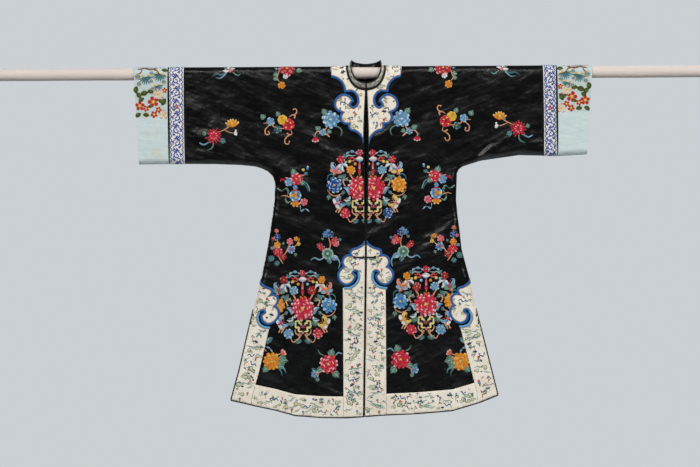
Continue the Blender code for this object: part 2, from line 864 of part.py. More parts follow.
def make_back_binding(panels):
    """The binding up one slit, along the whole back hem and up the other slit."""
    both = Panel()
    path = []
    for side in ("left", "right"):
        panel = panels[side]
        last, slit, seam = (panel.rows[name] for name in ("last", "slit", "seam_column"))
        for key, point in panel.points.items():
            both.points[side, key] = point
        for cell in panel.cells:
            both.cells.append(tuple((side, key) for key in cell))
        down = [(side, ("back", row, seam)) for row in range(slit + 1, last + 1)]
        end = -1 if side == "left" else 0
        along = [(side, ("back", last, column)) for column in range(seam - 1, end, -1)]
        part = down + along
        path += part if side == "left" else part[::-1]
    edge_sweep("binding_back", both, path, -1, "black_binding")


def neck_frames():
    """The standing band right round from front to front: foot, top, upwards, outwards."""
    right = [(Vector(row[:3]), Vector(row[3:])) for row in NECK]
    flip = Vector((-1.0, 1.0, 1.0))
    left = [(foot * flip, top * flip) for foot, top in right[:-1]]
    rows = left + right[::-1]
    frames = []
    for i, (foot, top) in enumerate(rows):
        before = rows[max(0, i - 1)]
        after = rows[min(len(rows) - 1, i + 1)]
        along = after[0] + after[1] - before[0] - before[1]
        up = (top - foot).normalized()
        frames.append((foot, top, up, up.cross(along).normalized()))
    return frames


def band_ring(bm, low, high, out, wall):
    """One section of a band that stands between two points."""
    side = out * wall / 2
    return [bm.verts.new(point) for point in (low - side, low + side, high + side, high - side)]


def make_collar(panels):
    """The standing band with its two bindings, open at the centre front."""
    frames = neck_frames()
    band = bmesh.new()
    rim = bmesh.new()
    band_rings, rim_rings = [], []
    for foot, top, up, out in frames:
        band_top = top - up * COLLAR_BINDING_HEIGHT
        band_rings.append(band_ring(band, foot, band_top, out, COLLAR_WALL))
        rim_rings.append(band_ring(rim, band_top + up * 2 * GAP, top, out, COLLAR_BINDING))
    join_rings(band, band_rings)
    join_rings(rim, rim_rings)
    new_piece("collar", band, "cream_silk")
    new_piece("collar_top_binding", rim, "black_binding")
    make_foot_binding(panels, frames)


def make_foot_binding(panels, frames):
    """The black binding that lies on the yoke round the foot of the band."""
    bm = bmesh.new()
    rings = []
    feet = [frame[0] for frame in frames]
    for i, foot in enumerate(feet):
        along = feet[min(len(feet) - 1, i + 1)] - feet[max(0, i - 1)]
        away = Vector((0.0, foot.y, max(foot.z, 0.0))).normalized()
        across = away.cross(along).normalized()
        inside = foot + across * (NECK_EASE - FOOT_BINDING_INSET)
        outside = foot + across * (NECK_EASE + FOOT_BINDING_WIDTH)
        rings.append([
            bm.verts.new(point)
            for point in (
                inside,
                outside,
                outside + away * (FOOT_BINDING_RISE - FOOT_BINDING_SLOPE),
                inside + away * FOOT_BINDING_RISE,
            )
        ])
    join_rings(bm, rings)
    piece = new_piece("collar_foot_binding", bm, "black_binding")
    for side, panel in panels.items():
        past_centre = Panel()
        past_centre.cells = yoke_cells(panel, FOOT_BINDING_DROP)
        for key, point in panel.points.items():
            past_centre.points[key] = point if key[2] else Vector((-SIGN[side], point.y, point.z))
        tool = new_piece("tool", thickened(past_centre, UNDER_BINDING), "black_cord")
        shape(piece, tool, "DIFFERENCE")


def yoke_cells(panel, drop):
    """The cells of a panel round the neck and over the shoulder, down to some drop."""
    return [
        cell
        for cell in panel.cells
        if all(abs(panel.points[key].x) < YOKE_REACH for key in cell)
        and any(panel.points[key].z > -drop for key in cell)
    ]


def knob_angles(sign):
    """Angles round the end of a frog's bar, from one side of the bar to the other."""
    start = math.pi if sign > 0 else 0.0
    return [start + math.radians(KNOB_STEP * step) for step in range(1, 360 // KNOB_STEP)]


def make_frog(panels):
    """The cord closure: a bar on each front, and the knot between them."""
    middle = between(CENTRE_FRONT, -FROG_HEIGHT, 1)
    reach_in = FROG_BUTTON_RADIUS + GAP
    for side in ("left", "right"):
        sign = SIGN[side]
        end = sign * (FROG_REACH[side] - FROG_KNOB_RADIUS)
        start = middle + sign * reach_in
        knob = [
            Vector((
                end + FROG_KNOB_RADIUS * math.cos(angle),
                FROG_HEIGHT + FROG_KNOB_RADIUS * math.sin(angle),
            ))
            for angle in knob_angles(sign)
        ]
        half = FROG_BAR / 2
        bar = [Vector((start, FROG_HEIGHT - half)), Vector((start, FROG_HEIGHT + half))]
        outline = knob + (bar if sign < 0 else bar[::-1])
        overlay(f"frog_{side}", panels[side], CORD, outline, "front", "black_cord")
    depth = half_depth("left", "front", 0.0, -FROG_HEIGHT)
    bm = bmesh.new()
    bmesh.ops.create_uvsphere(bm, u_segments=10, v_segments=6, radius=FROG_BUTTON_RADIUS)
    level = CORD[0] + FROG_BUTTON_RADIUS + FROG_BUTTON_LIFT
    bmesh.ops.translate(bm, vec=(middle, -depth - level, FROG_HEIGHT), verts=bm.verts)
    new_piece("frog_knot", bm, "black_cord")


def main():
    clear_scene()
    make_rod()
    panels = {side: body_panel(side) for side in ("left", "right")}
    for side, panel in panels.items():
        make_body(side, panel)
        make_sleeve(side)
        make_cloud_collar(side, panel)
        make_front_border(side, panel)
        make_side_border(side, panel)
        make_hem_border(side, panel)
        path = front_binding_path(panel)
        edge_sweep(f"binding_{side}", panel, path, SIGN[side], "black_binding")
    make_back_binding(panels)
    make_collar(panels)
    make_frog(panels)


main()
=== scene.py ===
"""The looks of a black satin robe with embroidery, hung by its sleeves on a covered rod.

Sums and tables are in millimetres. A flat place on the cloth is x out to the viewer's
right and y up: y is 0 in front of the rod, rises over it to WRAP, and past WRAP the cloth
hangs down the back. Left and right are the viewer's.
"""

import json
import math

import bmesh
import bpy
import numpy as np
from mathutils import Matrix, Vector

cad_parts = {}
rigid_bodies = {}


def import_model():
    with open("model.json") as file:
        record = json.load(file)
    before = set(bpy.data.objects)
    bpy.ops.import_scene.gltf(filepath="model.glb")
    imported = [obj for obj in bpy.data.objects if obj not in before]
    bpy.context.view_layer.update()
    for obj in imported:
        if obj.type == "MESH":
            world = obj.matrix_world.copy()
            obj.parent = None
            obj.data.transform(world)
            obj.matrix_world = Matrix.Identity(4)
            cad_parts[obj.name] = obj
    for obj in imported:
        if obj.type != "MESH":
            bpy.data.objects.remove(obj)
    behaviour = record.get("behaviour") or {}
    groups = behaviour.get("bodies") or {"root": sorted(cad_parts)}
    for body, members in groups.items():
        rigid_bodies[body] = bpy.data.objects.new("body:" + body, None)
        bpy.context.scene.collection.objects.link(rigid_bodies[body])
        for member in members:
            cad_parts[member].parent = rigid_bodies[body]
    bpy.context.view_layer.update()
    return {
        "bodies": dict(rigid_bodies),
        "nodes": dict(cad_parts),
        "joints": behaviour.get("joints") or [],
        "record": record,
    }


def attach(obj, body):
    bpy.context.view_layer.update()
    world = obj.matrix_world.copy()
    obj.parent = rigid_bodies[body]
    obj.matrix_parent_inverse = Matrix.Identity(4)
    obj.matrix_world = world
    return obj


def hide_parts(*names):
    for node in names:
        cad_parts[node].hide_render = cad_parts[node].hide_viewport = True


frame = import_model()

MM = 0.001
GAP = 0.3
WELD = 0.02
FAR = 1e9
SLOPE_STEP = 0.5
BACK_SEAM = 0.02
SIDES = ("left", "right")
FACES = ("front", "back")
SIGN = {"left": -1.0, "right": 1.0}
FACING = {"front": -1.0, "back": 1.0}

# Rod, and the satin over it
ROD_RADIUS = 18.0
ROD_LENGTH = 2280.0
ROD_SEAM = {"turn": 4.4, "sway": 0.05, "width": 0.06, "rise": 0.5}
LAP_RADIUS = 19.88
WRAP = math.pi * LAP_RADIUS

# Levels above the middle of the satin
SATIN_WALL = 1.8
SATIN_TOP = 0.9
CREAM = (1.2, 2.2)
CREAM_TOP = CREAM[1]
TRIM = (1.0, 3.6)
CORD = (2.0, 3.1)
RIBBON_TOP = 1.4
BINDING_TOP = 0.6

# Widths and heights
BORDER_WIDTH = 60.0
HEM_BORDER = 62.0
TRIM_WIDTH = 6.0
CORD_NEAR = TRIM_WIDTH / 2 + 0.1
CORD_FAR = TRIM_WIDTH / 2 + 1.7
BINDING_OUT = 1.9
BINDING_RADIUS = 1.7
SHOULDER_OUT = 106.0
OVER_ROD = (0.8, 0.5, 0.2)
YOKE_DROPS = (60, 90, 130, 170)
SLEEVE_DEEP = 270.0
SLIT_TOP = 706.0
SLIT_RELEASE = 80.0
SLEEVE_SEAM = 335.7
CLOSING_WIDTH = 16.0
HEM_ROWS_FROM = 870.0
LOWEST = 1040.0

# How far the cloth stands from the middle plane low down, the drop by which it has
# narrowed half way to that, and the drop from which a fold has its full rise
LOW_DEPTH = 12.0
NARROWS_BY = 190.0
FOLDS_FULL_AT = 100.0

SIDE_EDGE = {  # drop, out
    "left": (
        (326, 275), (380, 277), (425, 283), (470, 289), (542, 302),
        (626, 321), (706, 341), (888, 384), (978, 409),
    ),
    "right": (
        (302, 271), (381, 268), (428, 272), (473, 278), (531, 284),
        (622, 308), (706, 324), (819, 352), (968, 389),
    ),
}
UNDER_SLEEVE = {  # out, drop
    "left": (
        (275, 326), (281, 308), (296, 293), (314, 284), (333, 278),
        (380, 273), (454, 270), (546, 269), (683, 270),
    ),
    "right": (
        (271, 302), (277, 290), (289, 281), (311, 274), (344, 264),
        (401, 256), (458, 248), (533, 250), (572, 252), (662, 247),
    ),
}
HEM = {  # out, drop
    "left": ((0, 1029), (66, 1033), (144, 1031), (218, 1026), (276, 1009), (409, 979)),
    "right": ((0, 1029), (36, 1026), (151, 1021), (253, 1014), (340, 987), (389, 968)),
}
CENTRE_FRONT = (  # drop, middle of the opening, half its width
    (47, 0.0, 3.0),
    (110, -0.5, 6.0),
    (192, -1.0, 9.0),
    (366, -2.0, 6.0),
    (516, -3.4, 2.85),
    (560, -3.4, 2.85),
    (1040, -12.0, 2.85),
)
NECK_EDGE = (  # y, out
    (-47.2, 3.0), (-45.4, 15.5), (-39.9, 28.3), (-29.0, 40.0), (-14.1, 48.2), (2.6, 53.1),
    (15.7, 54.7), (29.2, 54.1), (41.0, 49.0), (48.3, 37.3), (52.0, 19.2), (52.9, 0.15),
)
STRIP_EDGE = {"left": 73.0, "right": 55.5}
SLEEVE_ENDS = {  # out at the rod, out at the lower edge
    "left": {"sleeve": (546, 545), "band": (592, 586), "cuff": (696, 683)},
    "right": {"sleeve": (530, 533), "band": (570, 573), "cuff": (678, 662)},
}

# Broad folds: out and drop where each starts and ends, rise, half width
FOLDS = {
    ("left", "front"): (
        (215, 1060, 190, 800, -5.0, 60), (285, 340, 520, 170, 4.0, 45),
        (330, 1010, 300, 760, 4.0, 55), (120, 1060, 130, 700, 3.0, 60),
    ),
    ("left", "back"): (
        (120, 1060, 100, 420, 4.5, 70), (250, 1060, 215, 500, -4.5, 65),
        (285, 340, 520, 180, 4.0, 45),
    ),
    ("right", "front"): (
        (250, 1060, 215, 760, -5.0, 60), (285, 320, 520, 160, 4.0, 45),
        (330, 1010, 300, 760, 4.0, 55), (130, 1060, 130, 700, 3.0, 60),
    ),
    ("right", "back"): (
        (120, 1060, 110, 420, 4.5, 70), (255, 1060, 215, 480, -4.5, 65),
        (285, 320, 520, 170, 4.0, 45),
    ),
}

# Creases: out and drop where each starts and ends, bow, rise, half width
CREASES = {
    ("left", "front"): (
        (110, 190, 112, 330, 0, -0.9, 3), (330, 60, 331, 262, 2, -0.8, 4),
        (60, 348, 130, 392, 5, 1.3, 6), (95, 385, 190, 440, -7, -1.4, 7),
        (40, 400, 96, 418, 3, 1.0, 5), (188, 330, 268, 352, 5, 1.6, 7),
        (205, 366, 270, 372, -4, -1.2, 6), (225, 400, 279, 392, 3, 1.0, 6),
        (300, 262, 384, 190, 8, 1.7, 8), (330, 258, 440, 170, -8, -1.3, 8),
        (360, 262, 470, 196, 6, 1.1, 6), (420, 70, 500, 40, 4, 0.8, 7),
        (200, 290, 262, 306, -4, 1.2, 6), (160, 250, 240, 282, 6, -1.0, 8),
        (20, 470, 90, 500, 5, 1.1, 7), (100, 480, 190, 470, -5, 1.0, 8),
        (200, 540, 290, 520, 6, 1.3, 8), (150, 560, 240, 575, -6, -1.0, 8),
        (70, 640, 82, 760, 3, 0.8, 7), (190, 840, 205, 960, -5, 1.2, 9),
        (120, 880, 128, 970, 3, -0.9, 8), (245, 800, 262, 930, 4, 1.1, 9),
        (222, 968, 205, 1030, 2, 2.4, 7), (238, 960, 232, 1024, -2, -2.2, 7),
        (380, 110, 520, 96, 5, 0.7, 8), (470, 230, 540, 150, -6, 1.2, 8),
        (120, 60, 240, 40, 4, 0.7, 9), (150, 130, 210, 176, -6, 0.8, 7),
    ),
    ("right", "front"): (
        (205, 395, 212, 850, 5, -1.0, 4), (92, 200, 96, 420, -3, 0.7, 5),
        (278, 292, 384, 214, 10, 2.2, 9), (300, 290, 460, 168, 14, -1.8, 9),
        (330, 262, 520, 158, -10, 1.8, 9), (268, 300, 430, 176, -14, 1.5, 8),
        (250, 322, 264, 420, 4, 1.1, 7), (170, 300, 264, 330, -6, 1.5, 8),
        (180, 345, 262, 352, 5, -1.1, 7), (60, 330, 150, 360, -6, 1.2, 7),
        (30, 392, 120, 372, 5, 1.1, 6), (40, 436, 150, 430, -6, -1.1, 7),
        (120, 470, 230, 500, 7, 1.2, 8), (60, 505, 160, 530, -6, 1.0, 7),
        (212, 560, 290, 588, 6, 1.2, 8), (150, 610, 262, 600, -6, -0.9, 8),
        (215, 850, 228, 960, 4, 1.0, 9), (140, 880, 150, 980, -4, 0.9, 8),
        (250, 930, 264, 1010, 3, 2.2, 8), (272, 930, 282, 1004, -3, -2.0, 7),
        (390, 60, 500, 88, 6, 0.9, 8), (440, 240, 530, 210, -5, 1.2, 8),
        (380, 130, 520, 100, -8, 1.1, 9), (130, 50, 250, 66, 5, 0.7, 9),
        (60, 120, 130, 170, 6, 0.8, 8),
    ),
    ("left", "back"): (
        (60, 120, 180, 96, 6, 0.9, 9), (110, 230, 250, 262, -9, 1.4, 9),
        (285, 320, 400, 220, 9, 1.9, 9), (300, 270, 470, 190, -9, -1.4, 8),
        (180, 330, 266, 340, 5, 1.3, 7), (40, 400, 170, 430, -7, 1.1, 8),
        (90, 480, 210, 455, 6, -1.1, 8), (180, 560, 290, 590, 7, 1.2, 8),
        (60, 640, 180, 660, -6, 1.0, 8), (110, 760, 118, 960, 5, 1.3, 9),
        (215, 780, 232, 960, -5, -1.3, 9), (300, 820, 322, 950, 4, 1.2, 9),
        (230, 955, 222, 1024, 2, 2.0, 7), (430, 70, 520, 110, 5, 0.9, 8),
    ),
    ("right", "back"): (
        (50, 100, 170, 122, -6, 0.9, 9), (100, 250, 240, 236, 8, 1.3, 9),
        (280, 300, 410, 200, 10, 2.0, 9), (310, 270, 480, 180, -10, -1.5, 8),
        (170, 320, 262, 344, -5, 1.3, 7), (50, 420, 160, 396, 7, 1.1, 8),
        (80, 500, 200, 520, -6, -1.0, 8), (160, 600, 280, 580, 7, 1.2, 8),
        (70, 700, 170, 690, 5, 0.9, 8), (130, 780, 140, 970, -5, 1.3, 9),
        (230, 800, 244, 950, 5, -1.2, 9), (290, 840, 306, 950, -4, 1.2, 9),
        (262, 940, 270, 1008, 2, 1.9, 7), (420, 90, 520, 60, -5, 0.9, 8),
    ),
}

# Cloud head at the top of a border, down the middle of its trim:
# out from the edge, height against the tip, bulge of the arc to the next row
CLOUD_HEAD = (
    (-5.0, 4.0, 0.20),
    (34.3, -21.4, -0.56),
    (40.8, -40.8, -0.80),
    (61.6, -74.6, -0.27),
    (80.0, -97.4, -0.375),
    (56.2, -128.7, -0.35),
    (27.3, -101.4, 0.0),
    (36.3, -93.4, 0.65),
    (21.4, -89.5, 0.12),
    (17.4, -105.4, 0.21),
    (32.3, -131.2, 0.20),
    (62.1, -138.2, 0.0),
)
HOOK_FROM = 8
FRONT_TIP = -507.0
SIDE_TIP = -624.0

# Cloud collar, down the middle of its trim: out from the centre, height, bulge
CLOUD_COLLAR = (
    (104.0, -11.0, 0.40),
    (63.5, -56.3, 0.0),
    (46.0, -54.0, 0.385),
    (24.5, -84.0, 0.36),
    (38.3, -104.5, 0.27),
    (49.0, -96.0, 0.23),
    (39.8, -85.3, -0.28),
    (64.3, -65.5, -0.42),
    (94.1, -96.0, -0.26),
    (84.2, -113.0, 0.0),
    (70.4, -119.0, -0.70),
    (58.0, -152.7, 0.0),
    (50.5, -152.7, -0.64),
    (36.7, -172.6, 0.18),
    (10.7, -197.0, 0.0),
    (-9.0, -214.0, 0.0),
)

# The foot and the top of the standing band, from centre front to centre back
NECK = (  # foot x, foot y, foot z, top x, top y, top z
    (2.6, -19.8, -45.6, 2.6, -42.0, -30.0),
    (15.0, -19.8, -44.0, 10.5, -41.6, -29.4),
    (27.5, -19.8, -38.6, 20.5, -40.4, -26.5),
    (38.8, -19.8, -28.0, 31.0, -37.6, -18.5),
    (46.8, -19.8, -13.5, 38.4, -32.5, -5.5),
    (51.6, -19.6, 3.0, 43.0, -25.0, 10.0),
    (53.2, -14.0, 14.6, 44.5, -14.5, 27.0),
    (52.6, -2.0, 19.0, 43.5, -2.0, 38.5),
    (47.8, 8.4, 17.6, 41.0, 8.6, 38.5),
    (36.5, 14.2, 13.3, 32.0, 14.6, 34.0),
    (19.0, 16.4, 10.4, 17.0, 17.4, 31.0),
    (0.0, 16.9, 9.6, 0.0, 18.2, 29.5),
)
FROG_HEIGHT = -553.0
FROG_REACH = {"left": 41.0, "right": 27.0}
FROG_CORD = (2.2, 1.4, 4.0)  # half width, half height, level


# The hung cloth


def column_at(rows, at, column=1):
    return np.interp(at, [row[0] for row in rows], [row[column] for row in rows])


def to_run(out, drop, start, end):
    """How far places are from a straight run, how far along it, and how far to its side."""
    run = np.subtract(end, start)
    along = ((out - start[0]) * run[0] + (drop - start[1]) * run[1]) / run.dot(run)
    across = ((drop - start[1]) * run[0] - (out - start[0]) * run[1]) / np.hypot(*run)
    share = np.clip(along, 0, 1)
    distance = np.hypot(out - start[0] - share * run[0], drop - start[1] - share * run[1])
    return distance, along, across


def closed_edge(side):
    """The edge where front and back are sewn together: under the sleeve, then the side."""
    under = list(reversed(UNDER_SLEEVE[side]))
    seam = [(out, drop) for drop, out in SIDE_EDGE[side] if drop <= SLIT_TOP]
    return under + seam[1:]


def closed_share(distance):
    """How far the front and back stand apart near an edge where they are sewn together."""
    share = np.clip(distance / CLOSING_WIDTH, 0, 1)
    return (1 - (1 - share) ** 2) ** 0.75


def half_depth(side, face, out, drop):
    """How far the cloth is in front of or behind the robe's middle plane."""
    edge = closed_edge(side)
    distance = np.min([to_run(out, drop, a, b)[0] for a, b in zip(edge, edge[1:])], axis=0)
    rim = closed_share(column_at(SIDE_EDGE[side], drop) - out)
    release = np.sqrt(np.clip((drop - SLIT_TOP) / SLIT_RELEASE, 0, 1))
    closing = np.where(drop > SLIT_TOP, np.minimum(1, rim + release), closed_share(distance))
    depth = LOW_DEPTH + (LAP_RADIUS - LOW_DEPTH) / (1 + (drop / NARROWS_BY) ** 2)
    for out_0, drop_0, out_1, drop_1, rise, half_width in FOLDS[side, face]:
        away, along, _ = to_run(out, drop, (out_0, drop_0), (out_1, drop_1))
        ridge = np.clip(1 - (away / half_width) ** 2, 0, 1) ** 2
        share = np.clip(along, 0, 1)
        depth = depth + rise * ridge * (1 - share ** 2) * np.minimum(1, drop / FOLDS_FULL_AT)
    for out_0, drop_0, out_1, drop_1, bow, rise, half_width in CREASES[side, face]:
        _, along, across = to_run(out, drop, (out_0, drop_0), (out_1, drop_1))
        window = np.clip(4 * along * (1 - along), 0, 1)
        lean = across - bow * window
        depth = depth + rise * window ** 0.7 * np.exp(-((lean / half_width) ** 2))
    return depth * closing


def hang(x, y, level, side):
    """Points in space for flat places on one half of the robe, at levels above its middle."""
    sign = SIGN[side]
    points = np.zeros((len(x), 3))
    normals = np.zeros((len(x), 3))
    for face, there in (("front", y <= 0), ("back", y >= WRAP)):
        out = sign * x[there]
        drop = -y[there] if face == "front" else y[there] - WRAP
        depth = half_depth(side, face, out, drop)
        slope_out = (depth - half_depth(side, face, out - SLOPE_STEP, drop)) / SLOPE_STEP
        higher = np.maximum(drop - SLOPE_STEP, 0)
        slope_down = (depth - half_depth(side, face, out, higher)) / SLOPE_STEP
        facing = np.full(len(out), FACING[face])
        points[there] = np.stack([x[there], facing * depth, -drop], axis=1)
        normals[there] = np.stack([-sign * slope_out, facing, slope_down], axis=1)
    over = (y > 0) & (y < WRAP)
    turn = y[over] / LAP_RADIUS
    normals[over] = np.stack([0 * turn, -np.cos(turn), np.sin(turn)], axis=1)
    points[over] = normals[over] * LAP_RADIUS
    points[over, 0] = x[over]
    normals /= np.linalg.norm(normals, axis=1, keepdims=True)
    return points + normals * level[:, None]


def drop_of(y):
    return np.where(y > WRAP / 2, np.maximum(y - WRAP, 0), np.maximum(-y, 0))


def inner_edge(side, y):
    """Where a half starts: the centre front, round the neck, then the centre back."""
    front = SIGN[side] * column_at(CENTRE_FRONT, -y, 1) + column_at(CENTRE_FRONT, -y, 2)
    return np.where(y < NECK_EDGE[0][0], front, column_at(NECK_EDGE, y))


def outer_edge(side, y):
    """Where a half ends: the sleeve seam, the curve under the arm, then the side."""
    seam_drop = column_at(UNDER_SLEEVE[side], SLEEVE_SEAM)
    arm = [(seam_drop, SLEEVE_SEAM)]
    arm += [(drop, out) for out, drop in reversed(UNDER_SLEEVE[side]) if out < SLEEVE_SEAM]
    return column_at(arm + list(SIDE_EDGE[side][1:]), drop_of(y))


def move_to(bm, points):
    for vertex, point in zip(bm.verts, points):
        vertex.co = point


def hang_mesh(bm, side):
    """Hangs a flat bmesh: its x and y are places on the cloth, its z is the level."""
    flat = np.array([vertex.co[:] for vertex in bm.verts])
    move_to(bm, hang(flat[:, 0], flat[:, 1], flat[:, 2], side))


def hang_grid(bm, side):
    """Hangs a flat grid, welds it and turns its faces outwards."""
    hang_mesh(bm, side)
    bmesh.ops.remove_doubles(bm, verts=bm.verts, dist=WELD)
    if side == "left":
        bmesh.ops.reverse_faces(bm, faces=bm.faces)


def close_up(bm):
    """Welds the long seam of a rolled grid and caps its ends."""
    bmesh.ops.remove_doubles(bm, verts=bm.verts, dist=WELD)
    bmesh.ops.holes_fill(bm, edges=bm.edges, sides=0)
    bmesh.ops.recalc_face_normals(bm, faces=bm.faces)


def add_piece(name, bm, *finishes):
    """A bmesh in millimetres made an object in metres that rides on the rod's body."""
    bmesh.ops.scale(bm, vec=(MM, MM, MM), verts=bm.verts)
    for edge in bm.edges:
        edge.smooth = not edge.is_boundary
    mesh = bpy.data.meshes.new(name)
    bm.to_mesh(mesh)
    bm.free()
    for finish in finishes:
        mesh.materials.append(finish)
    mesh.shade_smooth()
    piece = bpy.data.objects.new(name, mesh)
    bpy.context.collection.objects.link(piece)
    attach(piece, "root")
    return piece


def give_wall(piece, thickness):
    """Thickens a piece evenly to both sides."""
    wall = piece.modifiers.new("wall", "SOLIDIFY")
    wall.thickness = thickness * MM
    wall.offset = 0.0
    return piece


# Dyes and finishes


def dye(code):
    """A colour code turned into linear red, green and blue."""
    parts = [int(code[i:i + 2], 16) / 255 for i in (1, 3, 5)]
    return tuple(c / 12.92 if c < 0.04045 else ((c + 0.055) / 1.055) ** 2.4 for c in parts)


class Finish:
    """A procedural material: its shader and the nodes that feed it."""

    def __init__(self, name, colour, roughness, sheen=0.0, specular=0.5):
        self.material = bpy.data.materials.new(name)
        self.material.use_nodes = True
        self.tree = self.material.node_tree
        self.shader = self.tree.nodes["Principled BSDF"]
        self.shader.inputs["Base Color"].default_value = (*dye(colour), 1)
        self.shader.inputs["Roughness"].default_value = roughness
        self.shader.inputs["Sheen Weight"].default_value = sheen
        self.shader.inputs["Sheen Roughness"].default_value = 0.4
        self.shader.inputs["Specular IOR Level"].default_value = specular
        self.place = self.add("ShaderNodeTexCoord").outputs["Object"]

    def add(self, kind, settings=None, **inputs):
        """A node with its settings, and its inputs as values or as links."""
        node = self.tree.nodes.new(kind)
        for key, value in (settings or {}).items():
            setattr(node, key, value)
        for key, value in inputs.items():
            socket = node.inputs[int(key[1:])] if key[1:].isdigit() else node.inputs[key]
            if isinstance(value, bpy.types.NodeSocket):
                self.tree.links.new(value, socket)
            else:
                socket.default_value = value
        return node

    def stretched(self, scale, turn=(0.0, 0.0, 0.0)):
        node = self.add("ShaderNodeMapping", Vector=self.place, Scale=scale, Rotation=turn)
        return node.outputs[0]

    def leaning(self, rise, scale):
        """Place for folds that rise outwards at an angle, on either half in its own way."""
        parts = self.add("ShaderNodeSeparateXYZ", Vector=self.place).outputs
        out = self.sum_of(parts[0], 0.0, "ABSOLUTE")
        aside = self.sum_of(self.sum_of(parts[0], 0.0, "GREATER_THAN"), 7.3, "MULTIPLY")
        depth = self.sum_of(parts[1], aside)
        place = self.add("ShaderNodeCombineXYZ", X=out, Y=depth, Z=parts[2]).outputs[0]
        turned = self.add("ShaderNodeMapping", Vector=place, Rotation=(0.0, rise, 0.0))
        return self.add("ShaderNodeMapping", Vector=turned.outputs[0], Scale=scale).outputs[0]

    def noise(self, scale, detail=3.0, place=None, roughness=0.5):
        place = place or self.place
        node = self.add(
            "ShaderNodeTexNoise", Vector=place, Scale=scale, Detail=detail, Roughness=roughness
        )
        return node.outputs["Fac"]

    def sum_of(self, a, b, operation="ADD"):
        return self.add("ShaderNodeMath", {"operation": operation}, i0=a, i1=b).outputs[0]

    def mixed(self, share, one, two):
        """A colour between two, each a code or a socket."""
        one = (*dye(one), 1) if isinstance(one, str) else one
        two = (*dye(two), 1) if isinstance(two, str) else two
        node = self.add("ShaderNodeMix", {"data_type": "RGBA"}, i0=share, i6=one, i7=two)
        return node.outputs[2]

    def ranged(self, value, low, high, to_low=0.0, to_high=1.0):
        node = self.add("ShaderNodeMapRange", i0=value, i1=low, i2=high, i3=to_low, i4=to_high)
        return node.outputs[0]

    def wave(self, value):
        return self.add("ShaderNodeMath", {"operation": "SINE"}, i0=value).outputs[0]

    def weave(self, per_metre):
        """Warp and weft threads as a height."""
        place = self.stretched((per_metre, per_metre, per_metre))
        parts = self.add("ShaderNodeSeparateXYZ", Vector=place).outputs
        return self.sum_of(self.wave(parts[0]), self.wave(parts[2]), "MULTIPLY")

    def dyed(self):
        """The dye that is kept in the mesh."""
        return self.add("ShaderNodeVertexColor", {"layer_name": "dye"}).outputs[0]

    def darkened(self, colour, share, by):
        """A colour multiplied by a darker one for a share."""
        kind = {"data_type": "RGBA", "blend_type": "MULTIPLY"}
        return self.add("ShaderNodeMix", kind, i0=share, i6=colour, i7=(*by, 1)).outputs[2]

    def colour_by(self, socket):
        self.tree.links.new(socket, self.shader.inputs["Base Color"])

    def gloss_by(self, socket):
        self.tree.links.new(socket, self.shader.inputs["Roughness"])

    def raised_by(self, *heights):
        """Bumps from pairs of height and depth in metres, one over the other."""
        normal = None
        for height, depth in heights:
            bump = self.add("ShaderNodeBump", Height=height, Distance=depth, Strength=1.0)
            if normal is not None:
                self.tree.links.new(normal, bump.inputs["Normal"])
            normal = bump.outputs[0]
        self.tree.links.new(normal, self.shader.inputs["Normal"])


def make_satin():
    finish = Finish("black_satin_cloth", "#050507", 0.28, sheen=0.0, specular=0.34)
    pull = finish.noise(11.0, 1.0, finish.leaning(0.7, (0.3, 1.0, 1.0)), 0.4)
    rumple = finish.noise(26.0, 2.0, finish.leaning(0.35, (0.4, 1.0, 1.0)), 0.45)
    pucker = finish.noise(60.0, 2.0, finish.leaning(-0.5, (0.5, 1.0, 1.0)))
    worn = finish.ranged(finish.noise(9.0, 5.0), 0.35, 0.7)
    finish.colour_by(finish.mixed(worn, "#020203", "#050507"))
    finish.gloss_by(finish.ranged(finish.noise(40.0), 0.3, 0.7, 0.25, 0.36))
    finish.raised_by(
        (finish.weave(9000.0), 0.00003), (pucker, 0.0012), (rumple, 0.0085), (pull, 0.024)
    )
    return finish.material


def make_piping_silk():
    finish = Finish("black_piping_silk", "#060607", 0.5, sheen=0.03, specular=0.3)
    threads = finish.noise(900.0, 2.0, finish.stretched((1.0, 1.0, 0.4)))
    finish.colour_by(finish.mixed(finish.noise(30.0), "#040405", "#0b0b0e"))
    finish.raised_by((threads, 0.0003))
    return finish.material


def make_cream_silk():
    finish = Finish("cream_silk_cloth", "#d9d0c2", 0.6, sheen=0.15, specular=0.35)
    lines = finish.noise(260.0, 3.0, finish.stretched((1.0, 1.0, 0.35), (0.0, 0.6, 0.0)), 0.7)
    cloud = finish.noise(22.0, 3.0)
    ground = finish.mixed(finish.ranged(cloud, 0.35, 0.7), "#f2ebdd", "#e4d9c8")
    share = finish.ranged(lines, 0.55, 0.8, 0.0, 0.55)
    finish.colour_by(finish.mixed(share, ground, "#bfb29c"))
    finish.raised_by((lines, 0.0004), (finish.weave(7000.0), 0.00004))
    return finish.material


def make_trim_silk():
    finish = Finish("ribbon_silk", "#0f58b4", 0.45, sheen=0.1, specular=0.4)
    threads = finish.noise(700.0, 2.0, finish.stretched((1.0, 1.0, 0.5)))
    share = finish.ranged(threads, 0.35, 0.65, 0.0, 0.6)
    finish.colour_by(finish.darkened(finish.dyed(), share, (0.45, 0.5, 0.6)))
    finish.raised_by((threads, 0.0004))
    return finish.material


